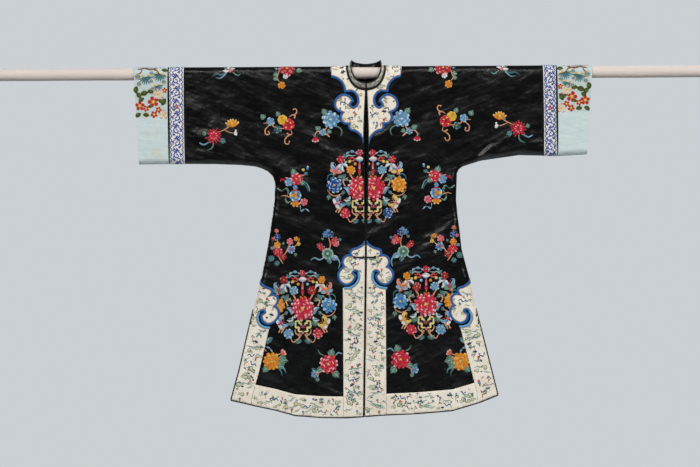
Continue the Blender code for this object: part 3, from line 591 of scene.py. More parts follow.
def make_cuff_silk():
    finish = Finish("pale_cuff_silk", "#c6d6d6", 0.5, sheen=0.12, specular=0.4)
    stain = finish.ranged(finish.noise(24.0, 4.0, roughness=0.6), 0.56, 0.72)
    ground = finish.mixed(stain, finish.dyed(), "#cfcbb8")
    bluer = finish.ranged(finish.noise(60.0, 3.0), 0.3, 0.8, 0.0, 0.5)
    finish.colour_by(finish.mixed(bluer, ground, "#bccfd4"))
    rumple = finish.noise(26.0, 3.0, finish.stretched((0.7, 1.0, 1.6)))
    finish.raised_by((finish.weave(8000.0), 0.00003), (rumple, 0.003))
    return finish.material


def make_band_ribbon():
    finish = Finish("woven_band_ribbon", "#ddd8cd", 0.5, sheen=0.12, specular=0.4)
    parts = finish.add("ShaderNodeSeparateXYZ", Vector=finish.stretched((1.0, 1.0, 5200.0)))
    rib = finish.wave(parts.outputs[2])
    cloud = finish.noise(40.0, 3.0)
    finish.colour_by(finish.mixed(cloud, "#efebe4", "#dcd6cc"))
    finish.raised_by((rib, 0.00006), (finish.noise(300.0), 0.0002))
    return finish.material


def make_muslin():
    finish = Finish("rod_muslin", "#ddd2cc", 0.85, sheen=0.2, specular=0.25)
    slub = finish.noise(160.0, 4.0, finish.stretched((0.15, 1.0, 1.0)), 0.6)
    patch = finish.noise(6.0, 3.0, finish.stretched((0.5, 1.0, 1.0)))
    finish.colour_by(finish.mixed(patch, finish.mixed(slub, "#e4dad4", "#d6cac2"), "#d9cdc6"))
    finish.raised_by((slub, 0.0008), (finish.weave(3800.0), 0.0001))
    return finish.material


def make_needlework_silk():
    """Floss silk: the dye is in the mesh, and threads run along each stitched shape."""
    finish = Finish("floss_silk", "#c8283c", 0.46, sheen=0.04, specular=0.25)
    lay = finish.add("ShaderNodeUVMap", {"uv_map": "stitch"}).outputs[0]
    parts = finish.add("ShaderNodeSeparateXYZ", Vector=lay)
    thread = finish.wave(finish.sum_of(parts.outputs[0], 9.0, "MULTIPLY"))
    drawn = finish.add("ShaderNodeMapping", Vector=lay, Scale=(1.0, 0.12, 1.0)).outputs[0]
    streak = finish.noise(4.0, 2.0, drawn)
    share = finish.ranged(streak, 0.35, 0.7, 0.0, 0.4)
    finish.colour_by(finish.darkened(finish.dyed(), share, (0.55, 0.5, 0.5)))
    finish.raised_by((thread, 0.00012), (streak, 0.0004))
    return finish.material


SATIN = make_satin()
PIPING = make_piping_silk()
CREAM_SILK = make_cream_silk()
RIBBON = make_trim_silk()
CUFF_SILK = make_cuff_silk()
BAND = make_band_ribbon()
MUSLIN = make_muslin()
FLOSS = make_needlework_silk()
BLUE = "#0562aa"
LIGHT_BLUE = "#62b0de"
TAN = "#bd8c6a"


def paint(piece, shades):
    """Keeps a dye for each point of a piece."""
    layer = piece.data.color_attributes.new("dye", "FLOAT_COLOR", "POINT")
    rows = np.concatenate([shades, np.ones((len(shades), 1))], axis=1)
    layer.data.foreach_set("color", rows.astype(np.float32).ravel())


# Body and sleeves

BODY_COLUMNS = 66
EDGE_CROWDING = 1.35
BODY_ROWS = (  # y from, y to, step
    (-1040, -330, 5.2), (-330, -262, 2.6), (-262, -50, 5.0), (-50, -36, 1.2),
    (-36, 0, 3.6), (0, 44, 2.4), (44, 54, 1.2), (54, WRAP, 2.4),
    (WRAP, WRAP + 262, 5.0), (WRAP + 262, WRAP + 330, 2.6), (WRAP + 330, WRAP + 1040, 5.2),
)


def grid_of(columns, rows):
    """A flat grid, and each vertex's share across and up."""
    bm = bmesh.new()
    bmesh.ops.create_grid(bm, x_segments=columns, y_segments=rows, size=0.5)
    shares = np.array([vertex.co[:2] for vertex in bm.verts]) + 0.5
    return bm, shares[:, 0], shares[:, 1]


def place_flat(bm, x, y, level=0.0):
    move_to(bm, np.stack([x, y, np.full(len(x), level)], axis=1))


def make_half(side):
    """Half the robe's body, front and back in one length over the rod."""
    steps = [np.linspace(a, b, round((b - a) / step), endpoint=False) for a, b, step in BODY_ROWS]
    levels = np.append(np.concatenate(steps), BODY_ROWS[-1][1])
    bm, across, up = grid_of(BODY_COLUMNS, len(levels) - 1)
    share = 1 - (1 - across) ** EDGE_CROWDING
    y = levels[np.rint(up * (len(levels) - 1)).astype(int)]
    planned = drop_of(y)
    back = y > WRAP / 2
    for _ in range(4):
        start = np.where(back & (y > NECK_EDGE[-1][0]), BACK_SEAM, inner_edge(side, y))
        out = start + share * (outer_edge(side, y) - start)
        stretch = (column_at(HEM[side], out) - HEM_ROWS_FROM) / (LOWEST - HEM_ROWS_FROM)
        drop = np.where(planned > HEM_ROWS_FROM,
                        HEM_ROWS_FROM + (planned - HEM_ROWS_FROM) * stretch, planned)
        y = np.where(planned > 0, np.where(back, WRAP + drop, -drop), y)
    place_flat(bm, SIGN[side] * out, y)
    hang_grid(bm, side)
    piece = give_wall(add_piece(f"satin_{side}", bm, SATIN), SATIN_WALL)
    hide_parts(f"body_front_{side}", f"body_back_{side}")
    return piece


def make_tube(name, side, start, end, columns, finish, replaced, wall=SATIN_WALL, lift=0.0):
    """A stretch of sleeve all round the rod, between two pairs of out above and below."""
    rows = 150
    bm, across, up = grid_of(columns, rows)
    total = 2 * SLEEVE_DEEP + WRAP
    y = up * total - SLEEVE_DEEP
    share = np.minimum(drop_of(y) / SLEEVE_DEEP, 1)
    share = np.sin(share * math.pi / 2) ** 0.9
    above = start[0] + across * (end[0] - start[0])
    below = start[1] + across * (end[1] - start[1])
    out = above + (below - above) * share
    drop = share * column_at(UNDER_SLEEVE[side], below)
    y = np.where(y < 0, -drop, np.where(y > WRAP, WRAP + drop, y))
    place_flat(bm, SIGN[side] * out, y, lift)
    hang_grid(bm, side)
    piece = give_wall(add_piece(name, bm, finish), wall)
    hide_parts(replaced)
    return piece


def after(ends):
    return tuple(out + GAP for out in ends)


CUFF_PANEL = {"left": -132.0, "right": -118.0}
CUFF_REACH = 92


def make_sleeve(side):
    ends = SLEEVE_ENDS[side]
    seam = SLEEVE_SEAM + GAP
    sleeve = make_tube(f"satin_sleeve_{side}", side, (seam, seam), ends["sleeve"], 44,
                       SATIN, f"sleeve_{side}")
    band = make_tube(f"ribbon_band_{side}", side, after(ends["sleeve"]), ends["band"], 12,
                     BAND, f"band_{side}", 2.2, 0.3)
    cuff = make_tube(f"silk_cuff_{side}", side, after(ends["band"]), ends["cuff"], 24,
                     CUFF_SILK, f"cuff_{side}")
    places = np.array([vertex.co[:] for vertex in cuff.data.vertices])
    worked = (places[:, 2] > CUFF_PANEL[side] * MM) | (places[:, 1] > 0)
    paint(cuff, np.where(worked[:, None], dye("#b6c9cb"), dye("#c9d8da")))
    return sleeve, band, cuff


# Outlines


ARC_STEP = 0.25


def arc(start, end, bulge):
    """Points from start to end on an arc that rises bulge times half the chord."""
    if not bulge:
        return [start, end]
    chord = end - start
    turn = 4 * math.atan(bulge)
    across = Vector((-chord.y, chord.x))
    centre = (start + end) / 2 + across * (1 - bulge ** 2) / (4 * bulge)
    steps = max(3, math.ceil(abs(turn) / ARC_STEP))
    spoke = start - centre
    points = [start]
    for i in range(1, steps):
        angle = turn * i / steps
        cos, sin = math.cos(angle), math.sin(angle)
        points.append(centre + Vector((spoke.x * cos - spoke.y * sin,
                                       spoke.x * sin + spoke.y * cos)))
    return points + [end]


def runs_of(rows):
    return [arc(Vector(row[:2]), Vector(later[:2]), row[2]) for row, later in zip(rows, rows[1:])]


def chained(runs):
    return runs[0] + [point for run in runs[1:] for point in run[1:]]


def beside(points, distance):
    """A run moved sideways, to the left of its way for a positive distance."""
    moved = []
    for i, point in enumerate(points):
        way = (points[min(i + 1, len(points) - 1)] - points[max(i - 1, 0)]).normalized()
        moved.append(point + Vector((-way.y, way.x)) * distance)
    return moved


def crossing(a, b, c, d):
    one, two = b - a, d - c
    spread = one.x * two.y - one.y * two.x
    if abs(spread) < 1e-6:
        return None
    share = ((c.x - a.x) * two.y - (c.y - a.y) * two.x) / spread
    other = ((c.x - a.x) * one.y - (c.y - a.y) * one.x) / spread
    return (a + one * share, share, other)


def joined(first, second):
    """Two moved runs, cut where they cross or carried on to their corner."""
    if (first[-1] - second[0]).length < GAP:
        return first + second[1:]
    for i in range(len(first) - 1, 0, -1):
        for j in range(len(second) - 1):
            met = crossing(first[i - 1], first[i], second[j], second[j + 1])
            if met and 0 <= met[1] <= 1 and 0 <= met[2] <= 1:
                return first[:i] + [met[0]] + second[j + 1:]
    met = crossing(first[-2], first[-1], second[0], second[1])
    if met and (met[0] - first[-1]).length < 2 * (first[-1] - second[0]).length:
        return first + [met[0]] + second
    return first + second


def moved_line(runs, distance):
    line = beside(runs[0], distance)
    for run in runs[1:]:
        line = joined(line, beside(run, distance))
    return line


def ribbon(runs, near, far):
    """The outline of a ribbon between two distances beside some runs."""
    return moved_line(runs, far) + moved_line(runs, near)[::-1]


def side_place(side, point):
    edge = float(column_at(SIDE_EDGE[side], -(SIDE_TIP + point.y)))
    return Vector((SIGN[side] * (edge - point.x), SIDE_TIP + point.y))


def front_place(side, point):
    edge = float(inner_edge(side, np.float64(FRONT_TIP + point.y)))
    return Vector((SIGN[side] * (edge + point.x), FRONT_TIP + point.y))


def collar_place(side, point):
    return Vector((SIGN[side] * point.x, point.y))


def to_back(point):
    """A front place's match on the back: the same drop, past the wrap."""
    return Vector((point.x, WRAP - point.y))


# Laid pieces


def distance_to_outline(x, y, outline):
    best = np.full(len(x), FAR)
    for a, b in zip(outline, outline[1:] + outline[:1]):
        if (b - a).length > 1e-6:
            best = np.minimum(best, to_run(x, y, tuple(a), tuple(b))[0])
    return best


def inside(x, y, outline):
    """Which places are inside an outline."""
    within = np.zeros(len(x), bool)
    for a, b in zip(outline, outline[1:] + outline[:1]):
        if a.y != b.y:
            spans = (a.y > y) != (b.y > y)
            within ^= spans & (x < (b.x - a.x) * (y - a.y) / (b.y - a.y) + a.x)
    return within


def kept_within(points, side, keep_in, keep_out):
    """Outline points drawn back to the edges of the cloth."""
    sign = SIGN[side]
    for point in points:
        y = np.float64(point.y)
        low = float(inner_edge(side, y)) + keep_in
        high = float(outer_edge(side, y)) - keep_out
        point.x = sign * min(max(sign * point.x, low), high)
    return points


def lay_piece(name, outline, levels, spacing, side, finish, roll=0.7):
    """A closed piece of cloth cut to an outline and laid on the satin, its edges rolled."""
    bm = bmesh.new()
    cleaned = [p for p, q in zip(outline, outline[1:] + outline[:1]) if (q - p).length > 0.05]
    bm.faces.new([bm.verts.new((point.x, point.y, 0)) for point in cleaned])
    for axis in (0, 1):
        low = min(point[axis] for point in cleaned)
        high = max(point[axis] for point in cleaned)
        normal = Vector((axis == 0, axis == 1, 0))
        for place in np.arange(low + spacing * 0.6, high - spacing * 0.2, spacing):
            geom = bm.verts[:] + bm.edges[:] + bm.faces[:]
            bmesh.ops.bisect_plane(
                bm, geom=geom, dist=0.01, plane_co=normal * float(place), plane_no=normal
            )
    big = [face for face in bm.faces if len(face.verts) > 4]
    bmesh.ops.triangulate(bm, faces=big)
    bmesh.ops.recalc_face_normals(bm, faces=bm.faces)
    if bm.faces[:][0].normal.z < 0:
        bmesh.ops.reverse_faces(bm, faces=bm.faces)
    under = bm.faces[:]
    drawn = bmesh.ops.extrude_face_region(bm, geom=under, use_keep_orig=True)
    bmesh.ops.reverse_faces(bm, faces=under)
    top = [item for item in drawn["geom"] if isinstance(item, bmesh.types.BMVert)]
    flat = np.array([vertex.co[:2] for vertex in top])
    near = distance_to_outline(flat[:, 0], flat[:, 1], cleaned)
    drop_in = roll * (1 - np.clip(near / (2.2 * roll), 0, 1)) ** 2
    for vertex in bm.verts:
        vertex.co.z = levels[0]
    for vertex, less in zip(top, drop_in):
        vertex.co.z = levels[1] - less
    bmesh.ops.recalc_face_normals(bm, faces=bm.faces)
    flat = np.array([vertex.co[:2] for vertex in bm.verts])
    hang_mesh(bm, side)
    piece = add_piece(name, bm, finish)
    return piece, flat


def edge_line(side, edge, drops):
    """Places down an edge, where edge says how far out it is at a drop."""
    return [Vector((SIGN[side] * edge(drop), -drop)) for drop in drops]


def smooth_drops(start, end, step=12.0):
    return np.linspace(start, end, max(2, round(abs(end - start) / step)))


def hem_drop(side, out):
    return float(column_at(HEM[side], out))


def side_out(side, drop):
    return float(column_at(SIDE_EDGE[side], drop))


def front_out(side, drop):
    return float(inner_edge(side, np.float64(-drop)))


def front_border_outline(side):
    """The cloud head, down the strip's inner edge, along the hem and up the front edge."""
    head = [front_place(side, p) for p in chained(runs_of(CLOUD_HEAD))[1:-1]]
    edge = STRIP_EDGE[side]
    top = -(FRONT_TIP + CLOUD_HEAD[-1][1])
    corner = hem_drop(side, edge)
    inner = edge_line(side, lambda _: edge, smooth_drops(top, corner))
    foot = hem_drop(side, front_out(side, 1029.0))
    tip = -FRONT_TIP - 2.0
    outer = edge_line(side, lambda drop: front_out(side, drop), smooth_drops(foot, tip))
    return head + inner + outer


def side_border_outline(side):
    head = [side_place(side, p) for p in chained(runs_of(CLOUD_HEAD))[1:-1]]
    top = -(SIDE_TIP + CLOUD_HEAD[-1][1])
    inner = edge_line(side, lambda drop: side_out(side, drop) - BORDER_WIDTH,
                      smooth_drops(top, 1000.0))
    while hem_drop(side, abs(inner[-1].x)) < -inner[-1].y:
        inner.pop()
    inner_foot = abs(inner[-1].x)
    inner.append(Vector((SIGN[side] * (inner_foot + 2), -hem_drop(side, inner_foot + 2))))
    foot = HEM[side][-1][1] - 0.5
    outer = edge_line(side, lambda drop: side_out(side, drop), smooth_drops(foot, -SIDE_TIP - 1))
    return head + inner + outer


def hem_border_outline(side, face):
    start = STRIP_EDGE[side] + GAP if face == "front" else GAP / 2
    end = side_out(side, 940.0) - BORDER_WIDTH - 1.0
    outs = np.linspace(start, end, 26)
    top = [Vector((SIGN[side] * out, HEM_BORDER - hem_drop(side, out))) for out in outs]
    drops = smooth_drops(-top[-1].y, 1000.0, 8)
    inner = edge_line(side, lambda drop: side_out(side, drop) - BORDER_WIDTH - 0.4, drops[1:])
    while hem_drop(side, abs(inner[-1].x)) < -inner[-1].y:
        inner.pop()
    outs = np.linspace(abs(inner[-1].x) + 1.5, start, 30)
    low = [Vector((SIGN[side] * out, -hem_drop(side, out))) for out in outs]
    return top + inner + low


def collar_outline(side):
    """The cloud collar's half: front outline, over the rod, back outline, round the neck."""
    runs = runs_of(CLOUD_COLLAR)
    front = [collar_place(side, p) for p in chained(runs)]
    back = [to_back(p) for p in front[::-1]]
    neck = [Vector((SIGN[side] * (out + 1.0), y)) for y, out in NECK_EDGE]
    over = [Vector((SIGN[side] * SHOULDER_OUT, WRAP * share)) for share in OVER_ROD]
    foot = [Vector((SIGN[side] * front_out(side, drop), -drop)) for drop in YOKE_DROPS]
    back_seam = [Vector((SIGN[side] * GAP / 2, WRAP + drop)) for drop in (20, *YOKE_DROPS)]
    outline = back + over + front + foot[::-1] + neck + back_seam
    return kept_within(outline, side, 0.2, 0.0)


# Needlework: dyes from the deep heart of a petal to its rim

RED = ("#6e0a1c", "#cc1c38", "#e65868", "#fae4e4")
CRIMSON = ("#5e0c18", "#a01a28", "#cf3f46", "#f0b8b4")
PINK = ("#b63a52", "#dd6478", "#f0a0a8", "#fbe6e2")
BLUES = ("#0f3c7a", "#3a80ba", "#8abde0", "#dceff6")
PALE_BLUE = ("#2a6098", "#5f98c2", "#9cc6de", "#e6f2f6")
ORANGES = ("#c25a10", "#e58a18", "#f2a93a", "#f9da8e")
YELLOWS = ("#c8921c", "#e6ba3c", "#f2d670", "#fbf0b8")
WHITES = ("#a8b6c2", "#dfe6e8", "#f0f2f0", "#ffffff")
GREENS = ("#1f4744", "#4a7a6a", "#7aa592", "#bcd9c6")
TEALS = ("#12383e", "#285f66", "#5a949a", "#accfce")
CORALS = ("#b8402c", "#e06a52", "#f0988a", "#fad8c8")
STEMS = ("#a8623c", "#dc9a6c", "#eab088", "#f4d0b0")
FRETS = ("#c8ac54", "#e8d684", "#f2e4a0", "#faf2c8")
DARK_BLUES = ("#061640", "#123f8c", "#4f8cc8", "#eef4f8")
NAVY = ("#070d2c", "#0d1a4a", "#1c2c68", "#3c4c88")


# A flower's usual rings and petals: over this radius, rings, petals
FLOWER_SIZES = ((30, 5, 15), (18, 4, 10), (11, 3, 8), (0, 2, 6))
UNEVEN_PETALS = 0.07
PALE_OUTSIDE = 0.42
PALE_WITHIN = 0.62
PETAL_LIFT = 0.16


class Needlework:
    """Stitched shapes on one half's flat cloth, gathered and then hung as one mesh."""

    def __init__(self, side, base, back=False, seed=7):
        self.side, self.base, self.back = side, base, back
        self.places, self.shades, self.lays, self.faces = [], [], [], []
        self.count = 0
        self.random = np.random.default_rng(seed)
        self.at(0.0, 0.0)

    def at(self, x, y, flip=1, size=1.0, turn=0.0):
        """Sets the spot that the next shapes are stitched round."""
        cos, sin = math.cos(turn), math.sin(turn)
        self.spot = np.array((x, y))
        self.size = size
        self.frame = np.array(((flip * cos, sin), (-flip * sin, cos))) * size

    def stroke(self, path, widths, dyes, rim=None, half=None, crown=0.5, lift=0.0, columns=5):
        """One run of satin stitch: its path, half widths, dyes along it, rim and other half."""
        path = np.asarray(path, float) @ self.frame + self.spot
        rows = len(path)
        offsets = np.array((-1, -0.68, 0, 0.68, 1)) if columns == 5 else np.array((-1, 0, 1))
        widths = np.asarray(widths, float) * self.size
        left = normals_of(path)
        flat = path[:, None] + (left * widths[:, None])[:, None] * offsets[None, :, None]
        height = crown * np.sqrt(1 - offsets ** 2) * (widths[:, None] > 0.05)
        height = height + self.base + lift + self.random.uniform(0.06, 0.1)
        tones = np.array([dye(code) for code in dyes])
        share = np.linspace(0, len(tones) - 1, rows)
        shade = np.stack([np.interp(share, range(len(tones)), tones[:, k]) for k in range(3)], 1)
        shade = np.repeat(shade[:, None], columns, axis=1)
        if half:
            shade[:, : columns // 2] = np.array(dye(half))
        if rim:
            shade[:, 0] = shade[:, -1] = np.array(dye(rim))
        shade = shade * self.random.uniform(0.9, 1.08)
        run = np.append(0, np.cumsum(np.linalg.norm(np.diff(path, axis=0), axis=1)))
        lay = np.stack(np.broadcast_arrays(run[:, None], offsets * widths.max()), axis=2)
        first = self.count + np.arange(rows - 1)[:, None] * columns + np.arange(columns - 1)
        quads = np.stack([first, first + columns, first + columns + 1, first + 1], axis=2)
        self.places.append(np.concatenate([flat, height[..., None]], axis=2).reshape(-1, 3))
        self.shades.append(shade.reshape(-1, 3))
        self.lays.append(lay.reshape(-1, 2) + self.random.uniform(0, 50, 2))
        self.faces.append(quads.reshape(-1, 4))
        self.count += rows * columns

    def petal(self, x, y, angle, length, half_width, dyes, rim=True, lift=0.0):
        """A petal from its base outwards, its rim pale at the tip."""
        steps = np.array((0.0, 0.26, 0.54, 0.76, 0.92, 1.0))
        path = np.stack([x + math.cos(angle) * length * steps,
                         y + math.sin(angle) * length * steps], axis=1)
        widths = half_width * np.array((0.35, 0.74, 1.0, 0.92, 0.66, 0.25))
        deep, main, light, pale = dyes
        tones = (deep, main, main, main, light, main)
        if rim:
            tones = (deep, main, main, light, pale, pale)
        self.stroke(path, widths, tones, rim=deep, lift=lift)

    def leaf(self, x, y, length, turn, dyes=GREENS, fullness=0.26, bend=0.1):
        """A pointed leaf, one half dark and the other light."""
        turn = math.radians(turn)
        steps = np.linspace(0, 1, 7)
        sideways = bend * length * np.sin(steps * math.pi)
        way = np.array((math.cos(turn), math.sin(turn)))
        path = np.array((x, y)) + np.outer(steps * length, way)
        path += np.outer(sideways, (-way[1], way[0]))
        widths = fullness * length * np.sin(np.clip(steps * 0.94 + 0.06, 0, 1) * math.pi) ** 0.8
        self.stroke(path, widths + 0.02, (dyes[1], dyes[2], dyes[1]), half=dyes[0], rim=dyes[3])

    def broad_leaf(self, x, y, size, turn, dyes=GREENS):
        """A lobed peony leaf with a light vein."""
        for lean, length in ((-52, 0.72), (52, 0.72), (-26, 0.9), (26, 0.9), (0, 1.1)):
            self.leaf(x, y, size * length, turn + lean, dyes, 0.24, 0.0)
        self.line([(x, y), self.away(x, y, size * 0.9, turn)], 0.6, dyes[3], lift=0.5)

    def away(self, x, y, distance, turn):
        turn = math.radians(turn)
        return (x + distance * math.cos(turn), y + distance * math.sin(turn))

    def spray(self, x, y, size, turn, dyes=TEALS, leaves=5):
        for i in range(leaves):
            lean = 70 * (i / (leaves - 1) - 0.5)
            length = size * (1.0 - 0.25 * abs(lean) / 35)
            self.leaf(x, y, length, turn + lean, dyes, 0.16, 0.06)

    def line(self, points, half_width, colour, end=None, lift=0.0):
        """A couched stem, vein or tail that thins towards its ends."""
        count = max(5, 4 * len(points))
        path = curve(points, count)
        steps = np.linspace(0, 1, count)
        widths = half_width * (0.35 + 0.65 * np.sin(steps * math.pi) ** 0.5)
        self.stroke(path, widths, (colour, end or colour), lift=lift,
                    crown=min(0.6, half_width), columns=3)

    def stem(self, *points, width=1.5):
        self.line(points, width, STEMS[1], STEMS[2])

    def curl(self, *points, width=1.7, dyes=STEMS):
        """A line that ends in a small round knob."""
        self.line(points, width, dyes[1], dyes[2])
        self.knot(points[-1][0], points[-1][1], width * 1.35, dyes[2])

    def ribbon(self, *points, width=2.2, dyes=PALE_BLUE):
        path = curve(points, 5 * len(points))
        steps = np.linspace(0, 1, len(path))
        widths = width * (0.6 + 0.4 * np.sin(steps * 5 * math.pi + 1)) * np.sin(
            np.clip(steps, 0.06, 0.94) * math.pi) ** 0.3
        self.stroke(path, widths, (dyes[2], dyes[1], dyes[2]), rim=dyes[3])

    def knot(self, x, y, radius, colour, rim=None, lift=0.15):
        steps = np.array((0.02, 0.2, 0.5, 0.8, 0.98))
        path = np.stack([x + radius * (2 * steps - 1), y + 0 * steps], axis=1)
        self.stroke(path, radius * np.sqrt(1 - (2 * steps - 1) ** 2), (colour, colour),
                    rim=rim, crown=min(0.7, radius * 0.4), lift=lift)

    def flower(self, x, y, radius, dyes, petals=None, heart=YELLOWS):
        """A peony or a small blossom: rings of petals round a knotted heart."""
        rings, usual = next(row[1:] for row in FLOWER_SIZES if radius > row[0])
        petals = petals or usual
        start = self.random.uniform(0, 6)
        for ring in range(rings):
            share = 1 - ring / rings
            reach = radius * (share + 0.03)
            count = max(4, petals - (2 + petals // 6) * ring)
            for i in range(count):
                angle = start + 2 * math.pi * (i + 0.5 * ring) / count
                angle += self.random.uniform(-0.06, 0.06)
                length = reach * (1 + self.random.uniform(-UNEVEN_PETALS, UNEVEN_PETALS))
                root = 0.28 * reach
                wide = (0.84 if radius > 12 else 0.78) * math.pi * length / count
                pale = self.random.random() < (PALE_WITHIN if ring else PALE_OUTSIDE)
                self.petal(x + root * math.cos(angle), y + root * math.sin(angle), angle,
                           length - root, wide, dyes, rim=pale, lift=PETAL_LIFT * ring)
        for i in range(1 if radius < 9 else 4):
            angle = start + 1.7 * i
            away = 0 if i == 0 else radius * 0.09
            self.knot(x + away * math.cos(angle), y + away * math.sin(angle),
                      max(1.0, radius * 0.08), heart[2], lift=PETAL_LIFT * rings + 0.1)

    def bud(self, x, y, size, turn, dyes):
        for lean in (-34, 34, 0):
            self.petal(x, y, math.radians(turn + lean), size, size * 0.34, dyes, lift=0.1)
        for lean in (-40, 40):
            self.leaf(x, y, size * 0.5, turn + lean, GREENS, 0.3, 0.0)

    def butterfly(self, x, y, size, turn, wings, lower, body):
        """Two hooked upper wings, two lower wings and a body."""
        way = math.radians(turn)
        for lean, reach, dyes in ((75, 1.0, wings), (-75, 1.0, wings), (140, 0.75, lower),
                                  (-140, 0.75, lower)):
            sign = 1 if lean > 0 else -1
            angle = way + math.radians(lean)
            spots = []
            for step in (0.1, 0.45, 0.8, 1.0, 0.92):
                swing = angle - sign * 0.9 * (step - 0.4) - sign * (0.35 if step == 0.92 else 0)
                spots.append((x + size * reach * step * math.cos(swing),
                              y + size * reach * step * math.sin(swing)))
            path = curve(spots, 10)
            widths = size * np.array((.1, .16, .22, .25, .24, .2, .17, .14, .11, .05))
            self.stroke(path, widths, (dyes[0], dyes[2], dyes[1]), rim=dyes[3])
        head = self.away(x, y, size * 0.35, turn)
        tail = self.away(x, y, -size * 0.55, turn)
        path = curve([tail, (x, y), head], 6)
        self.stroke(path, size * np.array((.05, .12, .17, .18, .15, .08)),
                    (body[0], body[1], body[2]), rim=body[3], lift=0.3)
        for lean in (-24, 24):
            tip = self.away(x, y, size * 0.85, turn + lean)
            self.line([head, tip], 0.5, body[2])

    def sew(self, name, hidden=(), place=None):
        """Hangs what has been stitched as one mesh; shapes under other cloth stay flat."""
        flat = np.concatenate(self.places)
        x, y, level = flat[:, 0].copy(), flat[:, 1].copy(), flat[:, 2].copy()
        faces = np.concatenate(self.faces)
        sign = SIGN[self.side]
        covered = np.zeros(len(x), bool)
        for outline in hidden:
            covered |= inside(x, y, outline)
        level[covered] = SATIN_TOP - 0.25
        if self.back:
            y = WRAP - y
            faces = faces[:, ::-1]
        past = np.zeros(len(x), bool)
        if place is None:
            low = np.where(y > WRAP / 2, GAP, inner_edge(self.side, y)) + 0.7
            below_arm = (drop_of(y) > UNDER_SLEEVE[self.side][-1][1]) & (sign * x < SLEEVE_SEAM)
            high = np.where(below_arm, outer_edge(self.side, y) - 0.5, FAR)
            past = (sign * x < low) | (sign * x > high)
            x = sign * np.clip(sign * x, low, high)
        keep = ~(past[faces].all(axis=1) | covered[faces].all(axis=1))
        faces = faces[keep]
        points = (place or hang)(x, y, level, self.side) * MM
        used, faces = np.unique(faces, return_inverse=True)
        faces = faces.reshape(-1, 4)
        mesh = bpy.data.meshes.new(name)
        mesh.from_pydata(points[used].tolist(), [], faces.tolist())
        mesh.materials.append(FLOSS)
        mesh.shade_smooth()
        piece = bpy.data.objects.new(name, mesh)
        bpy.context.collection.objects.link(piece)
        paint(piece, np.clip(np.concatenate(self.shades)[used], 0, 1))
        lays = mesh.uv_layers.new(name="stitch")
        corners = np.zeros(len(mesh.loops), np.int32)
        mesh.loops.foreach_get("vertex_index", corners)
        lay = np.concatenate(self.lays)[used][corners].astype(np.float32)
        lays.data.foreach_set("uv", lay.ravel())
        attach(piece, "root")
        return piece


def fruit_sprig(work):
    work.stem((-76, 4), (-54, 4), (-43, -7), (-18, -12), (-9, -7))
    work.curl((-58, -2), (-70, -15), (-68, -29), (-58, -28), (-60, -21))
    work.curl((1, 22), (10, 28), (19, 30), (25, 38), (21, 47), (15, 45))
    work.curl((12, 28), (20, 26), (18, 20))
    work.curl((7, -17), (10, -28), (0, -33), (-10, -43), (-11, -55), (-2, -59), (2, -51))
    work.curl((4, -31), (-4, -27))
    work.broad_leaf(-29, 26, 14, 115)
    work.broad_leaf(-72, 18, 16, 130)
    work.flower(-54, 9, 12, PALE_BLUE, 5)
    work.flower(-33, -14, 11, TEALS, 5)
    for x, y, radius, dyes in ((-18, 14, 15, YELLOWS), (0, 0, 18, RED)):
        for i in range(7):
            angle = 0.5 + i * 0.9
            work.petal(x, y, angle, radius, radius * 0.5, dyes, rim=False, lift=0.2)
        upper = (x - radius * 0.5, y + radius * 0.6)
        lower = (x + radius * 0.3, y - radius * 0.7)
        work.line([upper, (x, y), lower], 1.0, dyes[0], lift=0.5)
    for x, y in ((6, 5), (-8, -9), (9, -8), (-3, 10)):
        work.knot(x, y, 2.6, YELLOWS[2], lift=0.6)
    work.petal(-24, 20, 0.4, 10, 4, ORANGES, lift=0.5)


def blue_peony_sprig(work):
    work.ribbon((16, 2), (30, -4), (44, -12), width=3.4)
    work.line([(16, -20), (29, -26), (34, -38), (29, -50)], 1.8, GREENS[2], GREENS[1])
    work.stem((-9, -20), (-15, -28), (-22, -36))
    work.stem((-15, -40), (-3, -52), width=2.2)
    work.stem((-26, -36), (-40, -36), (-47, -46), (-46, -55))
    work.broad_leaf(-14, 18, 17, 128)
    work.broad_leaf(-32, -30, 16, 150)
    work.broad_leaf(-10, -34, 13, -20)
    work.spray(-46, -48, 10, 160, TEALS, 3)
    work.flower(-23, -38, 10, PALE_BLUE)
    work.bud(-46, -53, 15, -90, RED)
    work.flower(0, 0, 25, PALE_BLUE, heart=WHITES)
    work.knot(9, 8, 2.4, RED[1], lift=0.9)


def shoulder_sprig(work):
    work.stem((-22, -4), (-27, -20), (-30, -30), (-22, -40))
    work.broad_leaf(30, -2, 16, -30)
    work.broad_leaf(-28, -16, 14, 200)
    work.broad_leaf(-30, -30, 12, 190)
    work.spray(-28, 0, 9, 170, PALE_BLUE, 3)
    work.flower(0, 2, 25, CRIMSON, 11)
    work.flower(-4, -24, 8, WHITES, 5)
    work.flower(-16, -50, 11, ORANGES)


